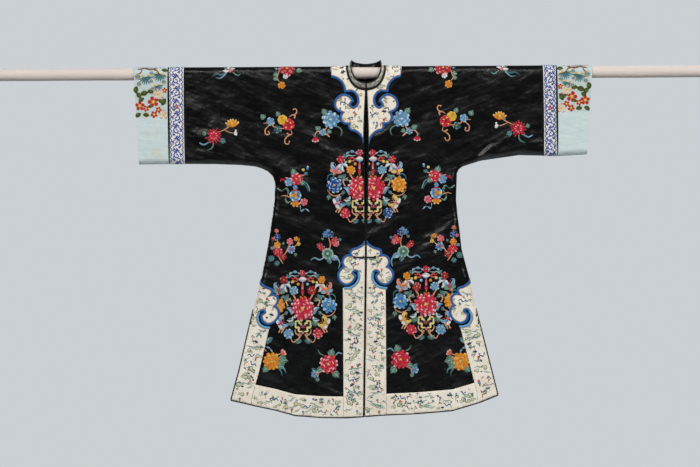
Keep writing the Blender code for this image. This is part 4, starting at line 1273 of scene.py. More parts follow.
def vase_sprig(work):
    """A flower in a small footed vase with ribbons."""
    work.line([(-48, -8), (-43, 0), (-38, -4), (-32, 6)], 2.6, RED[1], RED[0])
    work.stem((-33, 5), (-18, 0))
    work.stem((15, 8), (28, 14))
    work.spray(24, 12, 14, 30)
    work.knot(21, 27, 4.4, YELLOWS[2])
    work.petal(33, 26, 1.4, 13, 4, PALE_BLUE)
    work.broad_leaf(-6, 14, 17, 105)
    work.flower(-21, -9, 13, PALE_BLUE, 6)
    work.broad_leaf(13, -8, 15, -40)
    work.line([(24, -8), (34, -18), (41, -38)], 1.5, TEALS[2], PALE_BLUE[2])
    work.line([(20, -12), (32, -26), (36, -40)], 1.2, TEALS[2], TEALS[1])
    work.ribbon((-58, -27), (-44, -36), (-30, -28), (-24, -43), (-33, -57), (-27, -71), (-15, -66),
                width=3.0, dyes=GREENS)
    work.stem((-48, -52), (-34, -50), (-18, -56), width=1.3)
    work.flower(-3, -26, 7, PALE_BLUE, 6)
    for turn in range(0, 360, 40):
        work.petal(-3, -50, math.radians(turn), 18, 8, BLUES, rim=turn % 80 == 0, lift=0.1)
    work.petal(-7, -50, 3.14, 13, 6, YELLOWS, lift=0.5)
    work.petal(-5, -52, 1.2, 13, 5, ORANGES, lift=0.6)
    work.petal(-5, -48, -1.1, 12, 5, ORANGES, lift=0.6)
    work.line([(-12, -36), (-3, -34), (7, -36)], 2.2, RED[1], lift=0.5)
    work.line([(-10, -67), (-3, -69), (5, -67)], 2.6, PINK[1], lift=0.5)
    for turn in (200, 245, 295, 340):
        work.petal(-3, -70, math.radians(turn), 15, 4.4, ORANGES, lift=0.2)
    work.flower(23, -69, 11, PINK, 6, heart=RED)
    work.ribbon((11, -80), (14, -96), (27, -90), (39, -99), width=2.4)
    work.flower(0, 0, 19, RED)


def side_sprig(work):
    """Blossoms on branching stems above needle leaves."""
    work.stem((-24, -18), (-20, -36), (-8, -54), width=1.4)
    work.stem((-28, 44), (-26, 24), (-26, 4), (-22, -14), width=1.3)
    work.stem((12, 12), (6, -6), (-2, -22), (-16, -34), width=1.5)
    work.stem((42, 24), (36, 8), (26, -2), (4, -14), width=1.3)
    work.spray(-38, -30, 22, 225, TEALS)
    work.spray(-26, -44, 19, 255, TEALS, 4)
    work.spray(24, -24, 12, -30, GREENS, 4)
    work.spray(-10, 4, 10, 60, GREENS, 3)
    for x, y, radius, dyes in (
        (-28, 46, 6, CORALS), (-38, 22, 5, RED), (-26, 26, 10, DARK_BLUES), (-26, 3, 10, ORANGES),
        (-10, -33, 11, CRIMSON), (-24, -18, 14, RED), (12, 13, 10, PINK), (15, -11, 12, BLUES),
        (31, 21, 7, ORANGES), (38, 6, 6, YELLOWS), (-40, -6, 5, PALE_BLUE),
    ):
        work.flower(x, y, radius, dyes)
    work.knot(15, -11, 4, RED[1], lift=0.7)


def lotus_sprig(work):
    """Blossoms over a round lotus leaf, with long tails."""
    work.stem((0, 20), (6, -6), (0, -30), width=1.5)
    work.line([(-8, -40), (-26, -50), (-42, -44), (-54, -52)], 2.0, PALE_BLUE[2], TEALS[2])
    work.line([(16, -44), (30, -50), (34, -64), (30, -78)], 2.0, PALE_BLUE[2], TEALS[2])
    work.spray(30, 8, 12, 20, TEALS, 4)
    work.spray(-14, 10, 10, 130, GREENS, 3)
    for turn in range(0, 360, 36):
        work.petal(-2, -32, math.radians(turn), 17, 7, GREENS)
    work.knot(-2, -32, 4, GREENS[3], lift=0.3)
    work.leaf(6, -42, 26, -20, PALE_BLUE, 0.3)
    work.leaf(-4, -46, 20, -60, TEALS, 0.3)
    for x, y, radius, dyes in (
        (-8, 26, 9, BLUES), (6, 26, 10, DARK_BLUES), (-1, 36, 6, BLUES), (14, 2, 9, RED),
        (24, -2, 9, PINK), (20, 10, 8, RED), (-26, -8, 9, CRIMSON), (-18, -16, 8, RED),
    ):
        work.flower(x, y, radius, dyes)


def orange_peony_sprig(work):
    work.ribbon((-24, 46), (-8, 40), (2, 28), width=3.0)
    work.leaf(-16, 54, 26, 40, TEALS)
    work.leaf(-14, 52, 20, 66, CORALS, 0.14)
    work.stem((-30, 62), (-28, 44), (-16, 30))
    work.line([(22, -14), (36, -22), (42, -36)], 2.0, PALE_BLUE[2], TEALS[1])
    work.line([(18, -18), (28, -32), (30, -44)], 1.8, TEALS[2], TEALS[1])
    work.broad_leaf(20, 6, 27, -12)
    work.broad_leaf(18, -8, 22, -38)
    work.broad_leaf(-14, -18, 18, 225)
    work.stem((14, 18), (28, 24))
    work.bud(28, 22, 15, 35, CORALS)
    work.spray(26, 22, 10, 10, PALE_BLUE, 3)
    work.flower(0, 0, 27, ORANGES, 11)


def red_peony_sprig(work):
    work.broad_leaf(6, 26, 20, 70)
    work.broad_leaf(-20, -14, 17, 200)
    work.broad_leaf(16, -24, 20, -50)
    work.line([(18, 24), (30, 34), (40, 30)], 1.8, TEALS[2], PALE_BLUE[2])
    work.line([(-14, 26), (-26, 32), (-32, 44)], 1.6, GREENS[2], GREENS[1])
    work.stem((-16, -20), (-30, -26), (-40, -28))
    work.stem((-30, -26), (-34, -42), width=1.3)
    work.spray(-32, -40, 15, 250, GREENS, 4)
    work.leaf(-36, -20, 17, 150, TEALS)
    work.flower(-42, -30, 11, PALE_BLUE, 6, heart=RED)
    work.flower(0, 0, 28, RED, 12)


def chrysanthemum_sprig(work):
    """A long-petalled red bloom on a sleeve, with an orange one above it."""
    work.stem((12, 10), (34, 20), (52, 32))
    work.stem((30, 18), (48, 10), (60, 8), width=1.2)
    work.line([(-10, -16), (-30, -26), (-44, -20)], 2.0, TEALS[2], PALE_BLUE[2])
    work.line([(0, -20), (-6, -36), (-22, -44)], 2.0, GREENS[2], TEALS[1])
    work.spray(18, -12, 20, -25, TEALS)
    work.spray(-22, 6, 16, 165, GREENS, 4)
    work.spray(44, 26, 11, 120, GREENS, 3)
    for ring, (count, reach) in enumerate(((15, 26), (12, 19), (8, 12))):
        for i in range(count):
            angle = 2 * math.pi * (i + 0.5 * ring) / count + work.random.uniform(-0.1, 0.1)
            long = reach * work.random.uniform(0.82, 1.1)
            work.petal(0, 0, angle, long, 2.9, CRIMSON if ring == 0 else RED, rim=ring == 2,
                       lift=0.2 * ring)
    for lean in (-58, 50, -34, 26, -12, 6):
        work.petal(56, 26, math.radians(98 + lean), 25, 4.2, ORANGES, lift=0.1)
    work.petal(56, 26, math.radians(96), 15, 4.5, YELLOWS, lift=0.3)
    work.bud(60, 6, 10, 15, WHITES)
    work.knot(66, 16, 3, WHITES[2])


def trailing_sprig(work):
    """White-edged leaves and tails near the rod."""
    work.line([(-4, -6), (-22, -14), (-38, -12), (-52, -20)], 2.2, TEALS[2], TEALS[1])
    work.line([(-8, -10), (-26, -24), (-42, -22)], 1.8, PALE_BLUE[2], TEALS[1])
    work.line([(10, -6), (24, -16), (34, -12)], 1.8, GREENS[2], TEALS[2])
    for turn, dyes in ((20, WHITES), (55, GREENS), (95, WHITES), (140, GREENS), (185, WHITES)):
        work.leaf(0, 0, 19, turn, dyes)
    work.flower(2, 0, 7, PINK, 5)


def roundel(work, outer, inner):
    """A ring of flowers, ribbons and butterflies round a peony."""
    for column, (upper, near, far, low, wings, under, body) in ((-1, outer), (1, inner)):
        spot, frame = work.spot, work.frame
        work.frame = np.array(((column, 0), (0, 1))) @ frame
        work.ribbon((8, 104), (22, 110), (37, 106), (40, 100), width=3.8)
        work.line([(12, 99), (24, 97), (34, 99), (42, 92)], 1.9, TEALS[2], GREENS[3])
        work.line([(8, 92), (16, 87), (22, 93), (30, 88), (34, 94)], 2.2, CORALS[1], RED[1])
        work.line([(12, 86), (20, 82), (30, 84)], 1.5, RED[1], CORALS[2])
        work.knot(31, 80, 4.6, YELLOWS[2], YELLOWS[1])
        work.knot(14, 73, 4.4, ORANGES[2] if column < 0 else PALE_BLUE[2])
        work.knot(42, 78, 4.0, PALE_BLUE[2] if column < 0 else YELLOWS[2])
        work.leaf(42, 90, 15, 60, TEALS)
        work.flower(57, 86, 11, upper)
        work.stem((54, 76), (52, 62), (46, 50))
        work.leaf(53, 72, 20, 215, WHITES, 0.2, -0.2)
        work.leaf(53, 72, 19, -45, WHITES, 0.2, 0.2)
        work.leaf(53, 72, 24, -100, WHITES, 0.16)
        work.butterfly(71, 57, 22, 100, wings, under, body)
        work.stem((32, 44), (26, 36), (21, 26), width=2.2)
        work.flower(27, 54, 13, near)
        work.curl((36, 32), (50, 22), (46, 9), width=2.0)
        work.leaf(42, 42, 25, -60, TEALS, 0.2)
        work.leaf(50, 36, 18, -15, GREENS, 0.2)
        work.leaf(48, 30, 18, 200, GREENS, 0.2)
        work.curl((98, 22), (96, 36), (86, 43), (78, 38), (82, 32), width=1.7, dyes=TEALS)
        work.petal(70, 42, 0.3, 10, 4, CORALS)
        work.flower(77, 10, 23, far)
        work.stem((98, -4), (88, -18), (72, -23), (54, -15))
        work.stem((66, -22), (58, -32), width=1.3)
        work.leaf(34, -18, 26, 50, PALE_BLUE, 0.22, 0.3)
        work.leaf(30, -24, 22, -28, WHITES, 0.2, -0.35)
        work.leaf(46, -8, 14, -60, TEALS, 0.3)
        work.spray(92, -20, 17, -80, GREENS, 3)
        work.butterfly(67, -44, 21, 150, YELLOWS if column > 0 else BLUES, WHITES, body)
        work.stem((50, -52), (58, -60), (66, -74), width=2.2)
        work.curl((55, -58), (66, -60), (72, -70), width=1.7)
        work.leaf(28, -38, 19, -60, TEALS, 0.34)
        work.leaf(24, -42, 22, -20, GREENS, 0.3)
        work.leaf(30, -34, 16, -5, TEALS, 0.3)
        work.flower(44, -75, 15, low)
        work.stem((38, -88), (30, -101), (18, -94), (10, -84), (22, -74), (24, -62), width=1.9)
        work.curl((14, -88), (6, -80), (12, -76), width=1.5)
        work.leaf(4, -96, 20, -30, TEALS, 0.26)
        work.leaf(18, -104, 14, 60, TEALS, 0.26)
        work.line([(24, -38), (12, -38), (12, -44), (4, -44)], 2.8, FRETS[1], FRETS[2])
        work.line([(22, -37), (22, -56), (13, -57), (13, -68), (2, -69)], 3.0, FRETS[1], FRETS[2])
        work.line([(14, -41), (18, -50), (9, -52), (8, -60)], 1.8, NAVY[1], NAVY[2])
        work.line([(4, -47), (8, -49)], 1.8, FRETS[1])
        work.leaf(10, -30, 9, 30, TEALS, 0.3)
        work.spot, work.frame = spot, frame
    for x, y, size, dyes in ((0, -54, 6, CRIMSON), (-1, -73, 4, PINK)):
        work.flower(x, y, size, dyes)
    work.leaf(-12, 88, 24, 0, WHITES, 0.3, 0.0)
    work.line([(-10, 84), (0, 80), (10, 84)], 1.3, PALE_BLUE[1], lift=0.4)
    work.petal(-1, 80, -math.pi / 2, 26, 3.4, PINK)
    work.petal(-1, 58, -math.pi / 2, 14, 5.4, RED, rim=False, lift=0.2)
    work.flower(-1, 106, 10, RED)
    for x, y in ((-1, 41), (-7, 35), (5, 35), (-1, 31)):
        work.knot(x, y, 2.4, ORANGES[1])
    work.flower(0, 0, 36, RED, 17)


LOWER_OUTER = (CRIMSON, PALE_BLUE, ORANGES, PALE_BLUE, BLUES, GREENS, RED)
LOWER_INNER = (ORANGES, CRIMSON, BLUES, RED, CORALS, PALE_BLUE, ORANGES)
UPPER_OUTER = (RED, ORANGES, DARK_BLUES, RED, PALE_BLUE, CORALS, PINK)
UPPER_INNER = (RED, PALE_BLUE, ORANGES, DARK_BLUES, PALE_BLUE, YELLOWS, PINK)

# Sprigs on one half of the robe: where each stands, left and right
SPRIGS = (
    (shoulder_sprig, (-237, 14), (231, 14)),
    (trailing_sprig, (-410, 10), (408, 11)),
    (fruit_sprig, (-233, -154), (238, -146)),
    (blue_peony_sprig, (-107, -140), (106, -138)),
    (chrysanthemum_sprig, (-457, -187), (455, -169)),
    (vase_sprig, (-211, -317), (206, -311)),
    (side_sprig, (-243, -518), (233, -511)),
    (lotus_sprig, (-116, -510), (107, -504)),
    (orange_peony_sprig, (-287, -864), (279, -867)),
    (red_peony_sprig, (-117, -873), (99, -861)),
)
LOWER_ROUNDEL = {"left": (-193, -706), "right": (176, -696)}
UPPER_ROUNDEL = -346.0
PARTED = 20.0
MOTIF_SEED = {"left": 11, "right": 23}


def embroider(side):
    """The silk motifs on one half's satin, front and back."""
    flip = -SIGN[side]
    pieces = []
    for face in FACES:
        work = Needlework(side, SATIN_TOP, face == "back", MOTIF_SEED[side])
        for make, left, right in SPRIGS:
            work.at(*(left if side == "left" else right), flip)
            make(work)
        work.at(*LOWER_ROUNDEL[side], flip)
        roundel(work, LOWER_OUTER, LOWER_INNER)
        middle = SIGN[side] * (PARTED if face == "front" else 0.0)
        work.at(middle, UPPER_ROUNDEL)
        roundel(work, UPPER_OUTER, UPPER_INNER)
        hidden = [side_border_outline(side)]
        if face == "front":
            hidden.append(front_border_outline(side))
        pieces.append(work.sew(f"silk_motifs_{face}_{side}", hidden))
    return pieces


# Small sprigs scattered over the cream silk


def tiny_rock(work):
    """A garden stone in a green outline."""
    work.knot(-3, -1, 3.6, "#d9dcb4", lift=0.0)
    work.knot(4, 1, 3.4, "#e6d79a", lift=0.0)
    work.line([(-9, -4), (-7, 3), (-1, 3), (3, 8), (9, 3), (6, -4), (-2, -2), (-9, -4)], 1.1,
              GREENS[2], GREENS[1])


def tiny_leaves(work):
    dyes = (NAVY, GREENS, BLUES, TEALS, NAVY)[int(work.random.integers(5))]
    for turn in (15, 60, 115, 160):
        work.leaf(0, 0, 7.5, turn, dyes, 0.22)
    work.line([(0, 0), (1, -7)], 0.8, GREENS[1])


def tiny_blossom(work):
    dyes = (RED, PALE_BLUE, BLUES, PINK, PALE_BLUE)[int(work.random.integers(5))]
    for turn in (10, 82, 154, 226, 298):
        work.knot(*work.away(0, 0, 2.1, turn), 1.7, dyes[1], lift=0.0)
    work.knot(0, 0, 1.2, YELLOWS[2])
    work.leaf(0, -3, 7, -60, GREENS, 0.3)


def tiny_tree(work):
    work.line([(-3, -11), (0, -4), (-1, 4)], 1.2, STEMS[0])
    work.line([(0, -4), (6, 1)], 0.9, STEMS[0])
    for x, y in ((-4, 5), (2, 7), (7, 3), (-1, 10)):
        work.knot(x, y, 2.3, TEALS[1] if x < 3 else BLUES[0], lift=0.0)


def tiny_ground(work):
    """Blue-green lines of turf with a few blades."""
    work.line([(-20, -1), (-8, 1.4), (6, -0.4), (20, 2.0)], 1.4, GREENS[2], TEALS[2])
    work.line([(-10, -4.4), (10, -3.6)], 1.2, PALE_BLUE[2], GREENS[2])
    work.leaf(-5, 1, 6, 100, GREENS, 0.2)


def tiny_pine(work):
    work.line([(-3, -8), (0, -2), (1, 4)], 1.1, STEMS[1])
    for turn in (10, 50, 90, 130, 170):
        work.leaf(1, 3, 7.5, turn, TEALS, 0.16)


def tiny_scroll(work):
    work.line([(-8, -4), (-3, 2), (4, -2), (9, 4)], 1.6, BLUES[0], BLUES[1])
    work.knot(9, 5, 1.9, NAVY[2], lift=0.0)


def tiny_dots(work):
    for x, y, colour in ((0, 0, NAVY[2]), (5, 3, CORALS[2]), (-4, 5, BLUES[1])):
        work.knot(x, y, 1.5, colour, lift=0.0)


# Each tiny sprig with how far it reaches from its middle
TINY = ((tiny_rock, 9), (tiny_leaves, 8), (tiny_blossom, 8), (tiny_tree, 12), (tiny_ground, 20),
        (tiny_pine, 9), (tiny_dots, 7), (tiny_scroll, 10), (tiny_ground, 20), (tiny_rock, 9),
        (tiny_blossom, 8))


TINY_PITCH = 15.0
TINY_ROW = 0.94 * TINY_PITCH


def scatter_tiny(name, side, outline, seed, back=False):
    """Tiny sprigs at uneven places all over a cream piece, each sized by its free room."""
    work = Needlework(side, CREAM_TOP, back, seed)
    low = np.array((min(p.x for p in outline), min(p.y for p in outline)))
    high = np.array((max(p.x for p in outline), max(p.y for p in outline)))
    columns, rows = np.maximum(1, np.rint((high - low) / (TINY_PITCH, TINY_ROW))).astype(int)
    across, up = np.meshgrid(np.arange(columns) + 0.5, np.arange(rows) + 0.5)
    x = low[0] + (across + 0.5 * (np.rint(up) % 2 - 0.5)).ravel() * TINY_PITCH
    y = low[1] + up.ravel() * TINY_ROW
    x += work.random.uniform(-0.55, 0.55, len(x)) * TINY_PITCH
    y += work.random.uniform(-0.4, 0.4, len(y)) * TINY_PITCH
    room = distance_to_outline(x, y, outline)
    fits = inside(x, y, outline) & (room > 6.5)
    kinds = work.random.permutation(int(fits.sum())) % len(TINY)
    for one, two, free, kind in zip(x[fits], y[fits], room[fits], kinds):
        flip = 1 if work.random.random() < 0.5 else -1
        sprig, reach = TINY[kind]
        size = min(work.random.uniform(0.6, 1.25), (free - 1.5) / reach)
        if size < 0.5:
            sprig, size = tiny_dots, 0.7
        work.at(one, two, flip, size, work.random.uniform(-0.6, 0.6))
        sprig(work)
    return work.sew(name) if work.places else None


# Sleeve ends


def cuff_blossom(work, dyes, radius):
    for i in range(5):
        angle = math.radians(90 + 72 * i)
        spot = work.away(0, 0, radius * 0.2, 90 + 72 * i)
        work.petal(*spot, angle, radius * 0.8, radius * 0.4, dyes)
    work.knot(0, 0, radius * 0.26, YELLOWS[2], lift=0.5)


def cuff_fan(work):
    """Needle leaves in a fan, with a yellow cap."""
    for turn in range(-80, 81, 20):
        work.leaf(0, 0, 21, turn - 90, TEALS, 0.1, 0.05)
    work.petal(-4, 1, 2.6, 9, 3, YELLOWS)
    work.petal(4, 1, 0.5, 9, 3, YELLOWS)


def cuff_round_leaf(work):
    work.knot(0, 0, 9.5, CORALS[3], CORALS[2], lift=0.0)
    work.knot(0, 0, 7.6, TEALS[2], TEALS[1], lift=0.2)
    for turn in (60, 120, 240, 300):
        work.line([(0, 0), work.away(0, 0, 7, turn)], 0.7, GREENS[3], lift=0.6)


def cuff_leaf(work):
    work.leaf(-10, 0, 21, 10, ("#2c3a18", "#152c22", "#5d7030", "#c8c070"), 0.4)


def cuff_branch(work):
    work.line([(-30, 0), (-10, 4), (8, -3), (30, 3)], 3.4, "#6a4230", "#9a6848")


CUFF_PINK = ("#f0e2cc", "#e8dcc8", "#efc8bc", "#d85a70")
CUFF_RED = ("#e8b04c", "#c02030", "#c02030", "#d8404c")

# What is worked on a cuff: out from its inner edge, height, kind, size and turn
CUFF_WORK = (
    (60, 16, "branch", 1.0, 0.1), (30, 4, "branch", 0.9, -0.5), (86, 0, "branch", 0.6, 0.9),
    (66, -10, "fan", 1.2, 0.1), (24, -2, "fan", 1.15, -0.3), (32, -36, "fan", 0.95, 0.2),
    (90, -8, "round", 1.1, 0.0), (86, -30, "round", 0.9, 0.0), (50, -22, "round", 0.8, 0.0),
    (12, -24, "round", 0.9, 0.0), (48, 2, "round", 0.8, 0.0), (46, -44, "round", 0.7, 0.0),
    (92, -48, "leaf", 1.0, 1.2), (90, -66, "leaf", 1.0, -1.2), (70, -62, "leaf", 1.1, 0.1),
    (52, -56, "leaf", 0.95, -0.3), (78, -80, "leaf", 0.9, 0.5), (52, -100, "leaf", 0.7, 0.0),
    (10, -86, "leaf", 1.1, 0.9), (24, -84, "leaf", 0.8, -0.9), (88, -126, "leaf", 0.9, 0.4),
    (66, -126, "leaf", 0.9, -0.3), (28, -60, "pink", 1.5, 0.2), (13, -122, "pink", 1.2, 0.0),
    (44, -84, "red", 1.4, 0.3), (84, -96, "red", 1.2, 0.0), (42, -122, "red", 0.9, 0.5),
    (10, -50, "red", 0.7, 0.0), (66, -104, "red", 0.8, 0.4), (28, -108, "red", 0.8, 0.9),
    (10, 8, "leaf", 0.9, -0.4), (64, 40, "fan", 1.0, 0.0), (30, 38, "pink", 1.1, 0.0),
    (90, 32, "round", 1.0, 0.0),
)
CUFF_KINDS = {
    "branch": cuff_branch, "fan": cuff_fan, "round": cuff_round_leaf, "leaf": cuff_leaf,
    "pink": lambda work: cuff_blossom(work, CUFF_PINK, 12),
    "red": lambda work: cuff_blossom(work, CUFF_RED, 12),
}


def work_cuff(side):
    """Blossom, leaves and fans on the upper part of a cuff, front and back."""
    start = SLEEVE_ENDS[side]["band"][0] + 2
    flip = -SIGN[side]
    pieces = []
    for face in FACES:
        work = Needlework(side, SATIN_TOP, face == "back", 31)
        for out, height, kind, size, turn in CUFF_WORK:
            if face == "back" and height > 10:
                continue
            x = SIGN[side] * (start + min(out, CUFF_REACH))
            work.at(x, height * CUFF_PANEL[side] / CUFF_PANEL["left"], flip, size, turn)
            CUFF_KINDS[kind](work)
        pieces.append(work.sew(f"cuff_blossom_{face}_{side}"))
    return pieces


BAND_REPEAT = 38.0
BAND_TOOTH = 14.0
BAND_BLUES = ("#101c5c", "#23409c", "#4a6cc0", "#a8b8e4")


def work_band(side):
    """Cobalt scrolls down the woven band, between rows of small teeth and black piping."""
    ends = SLEEVE_ENDS[side]
    wide = ends["band"][0] - ends["sleeve"][0]
    slant = ends["sleeve"][1] - ends["sleeve"][0]
    top = -WRAP / 2
    depth = float(column_at(UNDER_SLEEVE[side], ends["band"][1])) - 2
    pieces = []

    def spot(across, drop):
        lean = slant * min(max(drop, 0) / SLEEVE_DEEP, 1)
        return SIGN[side] * (ends["sleeve"][0] + lean + across), -drop

    for face in FACES:
        work = Needlework(side, RIBBON_TOP, face == "back", 41)
        for across, into in ((3.6, 1), (wide - 3.6, -1)):
            for i in range(int((depth - top) / BAND_TOOTH)):
                drop = top + (i + 0.5) * BAND_TOOTH
                work.at(*spot(across, drop), SIGN[side])
                work.line([(-into, 7), (4.5 * into, 0), (-into, -7)], 1.5, BAND_BLUES[1])
                work.knot(0, 0, 1.7, GREENS[3], lift=0.0)
                work.knot(0.4 * into, 7, 1.5, BAND_BLUES[2], lift=0.0)
            work.at(0, 0)
            edge = -1.6 if into > 0 else wide + 0.6
            work.line([spot(edge, drop) for drop in np.linspace(top, depth, 14)], 3.0, "#040405")
        repeats = round((depth - top) / BAND_REPEAT)
        for i in range(repeats):
            drop = top + (i + 0.5) * (depth - top) / repeats
            work.at(*spot(wide / 2, drop), SIGN[side] if i % 2 else -SIGN[side])
            for path, width in (
                (((-9, 17), (2, 16), (9, 6), (3, -3), (-5, 2), (0, 7)), 1.9),
                (((8, -19), (-4, -18), (-10, -8), (-3, -4)), 1.9),
                (((-3, 15), (-11, 9), (-11, 1)), 1.6), (((3, -10), (11, -8), (10, 0)), 1.6),
                (((-1, 12), (8, 16)), 1.5), (((-9, -12), (-11, -19)), 1.5),
            ):
                work.curl(*path, width=width, dyes=BAND_BLUES)
            for x, y, turn in ((2, 10, 40), (-4, -13, -30), (6, -5, -70), (-8, 5, 150)):
                work.leaf(x, y, 9, turn, BAND_BLUES, 0.3)
            if i == 3:
                work.flower(0, 0, 7, PINK)
                work.leaf(2, -6, 10, -50, GREENS, 0.3)
                work.knot(-7, 5, 2, "#8a5aa8")
        pieces.append(work.sew(f"band_scrolls_{face}_{side}"))
    return pieces


def curve(points, count):
    """Even places on a smooth line through some points."""
    rows = np.asarray(points, float)
    if len(rows) == 2:
        return rows[0] + np.linspace(0, 1, count)[:, None] * (rows[1] - rows[0])
    ends = np.vstack([2 * rows[0] - rows[1], rows, 2 * rows[-1] - rows[-2]])
    steps = np.linspace(0, len(rows) - 1, 16 * len(rows))
    i = np.minimum(steps.astype(int), len(rows) - 2)
    t = (steps - i)[:, None]
    a, b, c, d = ends[i], ends[i + 1], ends[i + 2], ends[i + 3]
    line = 0.5 * (2 * b + (c - a) * t + (2 * a - 5 * b + 4 * c - d) * t ** 2
                  + (3 * b - a - 3 * c + d) * t ** 3)
    run = np.append(0, np.cumsum(np.linalg.norm(np.diff(line, axis=0), axis=1)))
    even = np.linspace(0, run[-1], count)
    return np.stack([np.interp(even, run, line[:, k]) for k in range(rows.shape[1])], axis=1)


def normals_of(path):
    """The way to the left of a flat path at each of its places."""
    way = np.gradient(path, axis=0)
    way /= np.maximum(np.linalg.norm(way, axis=1, keepdims=True), 1e-9)
    return np.stack([-way[:, 1], way[:, 0]], axis=1)


PIPING_SIDES = 10


def make_piping(name, path, across, up, level, side):
    """A round cord or rolled binding along a flat path on the cloth."""
    path = np.array([tuple(point) for point in path])
    left = normals_of(path)
    bm, along, turn = grid_of(len(path) - 1, PIPING_SIDES)
    i = np.rint(along * (len(path) - 1)).astype(int)
    angle = turn * 2 * math.pi
    flat = path[i] + left[i] * (across * np.cos(angle))[:, None]
    move_to(bm, np.column_stack([flat, level + up * np.sin(angle)]))
    hang_mesh(bm, side)
    close_up(bm)
    return add_piece(name, bm, PIPING)


def area_of(outline):
    pairs = zip(outline, outline[1:] + outline[:1])
    return abs(sum(a.x * b.y - b.x * a.y for a, b in pairs)) / 2


def declare_sheet(outline):
    """Works out the flat area of a laid piece, in square metres, and keeps nothing."""
    area_of(outline) * MM * MM


CREAM_SPACING = 6.0
TRIM_SPACING = 3.0


def make_cream(name, outline, side, node):
    piece, _ = lay_piece(name, outline, CREAM, CREAM_SPACING, side, CREAM_SILK)
    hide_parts(node)
    return piece


def make_trim(name, runs, place, side, node):
    """The blue ribbon on an edge, light blue round the hook, with a tan cord beside it."""

    def cut_between(near, far):
        outline = kept_within([place(side, p) for p in ribbon(runs, near, far)], side, GAP, GAP)
        return [to_back(p) for p in outline] if "back" in node else outline

    half = TRIM_WIDTH / 2
    outline = cut_between(-half, half)
    blue, flat = lay_piece(name, outline, TRIM, TRIM_SPACING, side, RIBBON, roll=1.0)
    line = [place(side, p) for run in runs for p in run]
    owner = [i for i, run in enumerate(runs) for _ in run]
    line = np.array([tuple(to_back(p) if "back" in node else p) for p in line])
    nearest = np.argmin(np.hypot(flat[:, None, 0] - line[:, 0], flat[:, None, 1] - line[:, 1]), 1)
    light = np.array(owner)[nearest] >= HOOK_FROM
    paint(blue, np.where(light[:, None], dye(LIGHT_BLUE), dye(BLUE)))
    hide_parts(node)
    outline = cut_between(-CORD_FAR, -CORD_NEAR)
    cord, flat = lay_piece(f"tan_cord_{name}", outline, CORD, TRIM_SPACING, side, RIBBON,
                           roll=0.4)
    paint(cord, np.tile(dye(TAN), (len(flat), 1)))
    return [blue, cord]


COLLAR_STEPS = 96
COLLAR_RIM = 4.7


def make_collar_band():
    """The standing band: cream outside and black inside, with its two bindings."""
    right = np.array(NECK)
    flip = np.array((-1, 1, 1, -1, 1, 1))
    rows = np.vstack([right * flip, right[-2::-1]])
    line = curve(rows, COLLAR_STEPS + 1)
    foot, top = line[:, :3], line[:, 3:]
    up = (top - foot) / np.linalg.norm(top - foot, axis=1, keepdims=True)
    along = np.gradient(foot + top, axis=0)
    out = np.cross(up, along)
    out /= -np.linalg.norm(out, axis=1, keepdims=True)
    out *= np.sign((out * (foot - foot.mean(axis=0))).sum(axis=1).mean())
    rim = top - up * COLLAR_RIM
    bm, share, height = grid_of(COLLAR_STEPS, 6)
    i = np.rint(share * COLLAR_STEPS).astype(int)
    wave = 0.5 * np.sin(i * 0.9 + 1.3 * np.sin(i * 0.31)) * np.sin(height * math.pi)
    move_to(bm, foot[i] + (rim - foot)[i] * height[:, None] + out[i] * wave[:, None])
    bmesh.ops.recalc_face_normals(bm, faces=bm.faces)
    middle = bm.faces[:][len(bm.faces) // 2]
    centre = np.array(middle.calc_center_median())
    near = out[np.argmin(np.linalg.norm(foot - centre, axis=1))]
    if Vector(near).dot(middle.normal) < 0:
        bmesh.ops.reverse_faces(bm, faces=bm.faces)
    band = give_wall(add_piece("collar_band", bm, CREAM_SILK, SATIN), 2.0)
    band.modifiers["wall"].material_offset = 1
    band.modifiers["wall"].material_offset_rim = 1
    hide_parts("collar")
    away = foot.copy()
    away[:, 0] = 0
    away[:, 2] = np.maximum(away[:, 2], 0)
    away /= np.linalg.norm(away, axis=1, keepdims=True)
    across = np.cross(away, np.gradient(foot, axis=0))
    across /= np.linalg.norm(across, axis=1, keepdims=True)
    across *= np.sign((across * out).sum(axis=1, keepdims=True))
    for name, middle, wide, high, one, two, node in (
        ("collar_top_roll", top - up * 2.0, 1.5, 2.6, out, up, "collar_top_binding"),
        ("collar_foot_roll", foot + across * 4.0 + away * 2.6, 3.3, 2.5, across, away,
         "collar_foot_binding"),
    ):
        bm, share, turn = grid_of(COLLAR_STEPS, 12)
        i = np.rint(share * COLLAR_STEPS).astype(int)
        angle = (turn * 2 * math.pi)[:, None]
        move_to(bm, middle[i] + one[i] * wide * np.cos(angle) + two[i] * high * np.sin(angle))
        close_up(bm)
        roll = add_piece(name, bm, PIPING)
        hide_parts(node)
    sprig_collar(foot, rim, out)


def sprig_collar(foot, rim, out):
    """Tiny sprigs round the standing band, by turns a little higher and lower."""
    run = np.append(0, np.cumsum(np.linalg.norm(np.diff((foot + rim) / 2, axis=0), axis=1)))
    height = np.linalg.norm(rim - foot, axis=1).mean()

    def on_band(x, y, level, _):
        share = y / height
        spots = [np.interp(x, run, foot[:, k]) * (1 - share) + np.interp(x, run, rim[:, k]) * share
                 + np.interp(x, run, out[:, k]) * level for k in range(3)]
        return np.stack(spots, axis=1)

    pitch = 9
    work = Needlework("right", 1.2, seed=17)
    for i in range(int(run[-1] / pitch)):
        turn = (-1) ** i
        work.at((i + 0.5) * pitch, height * (0.5 + 0.2 * turn), 1, 0.62, 0.4 * turn)
        TINY[(5 * i + i // 7) % len(TINY)][0](work)
    work.sew("collar_sprigs", place=on_band)


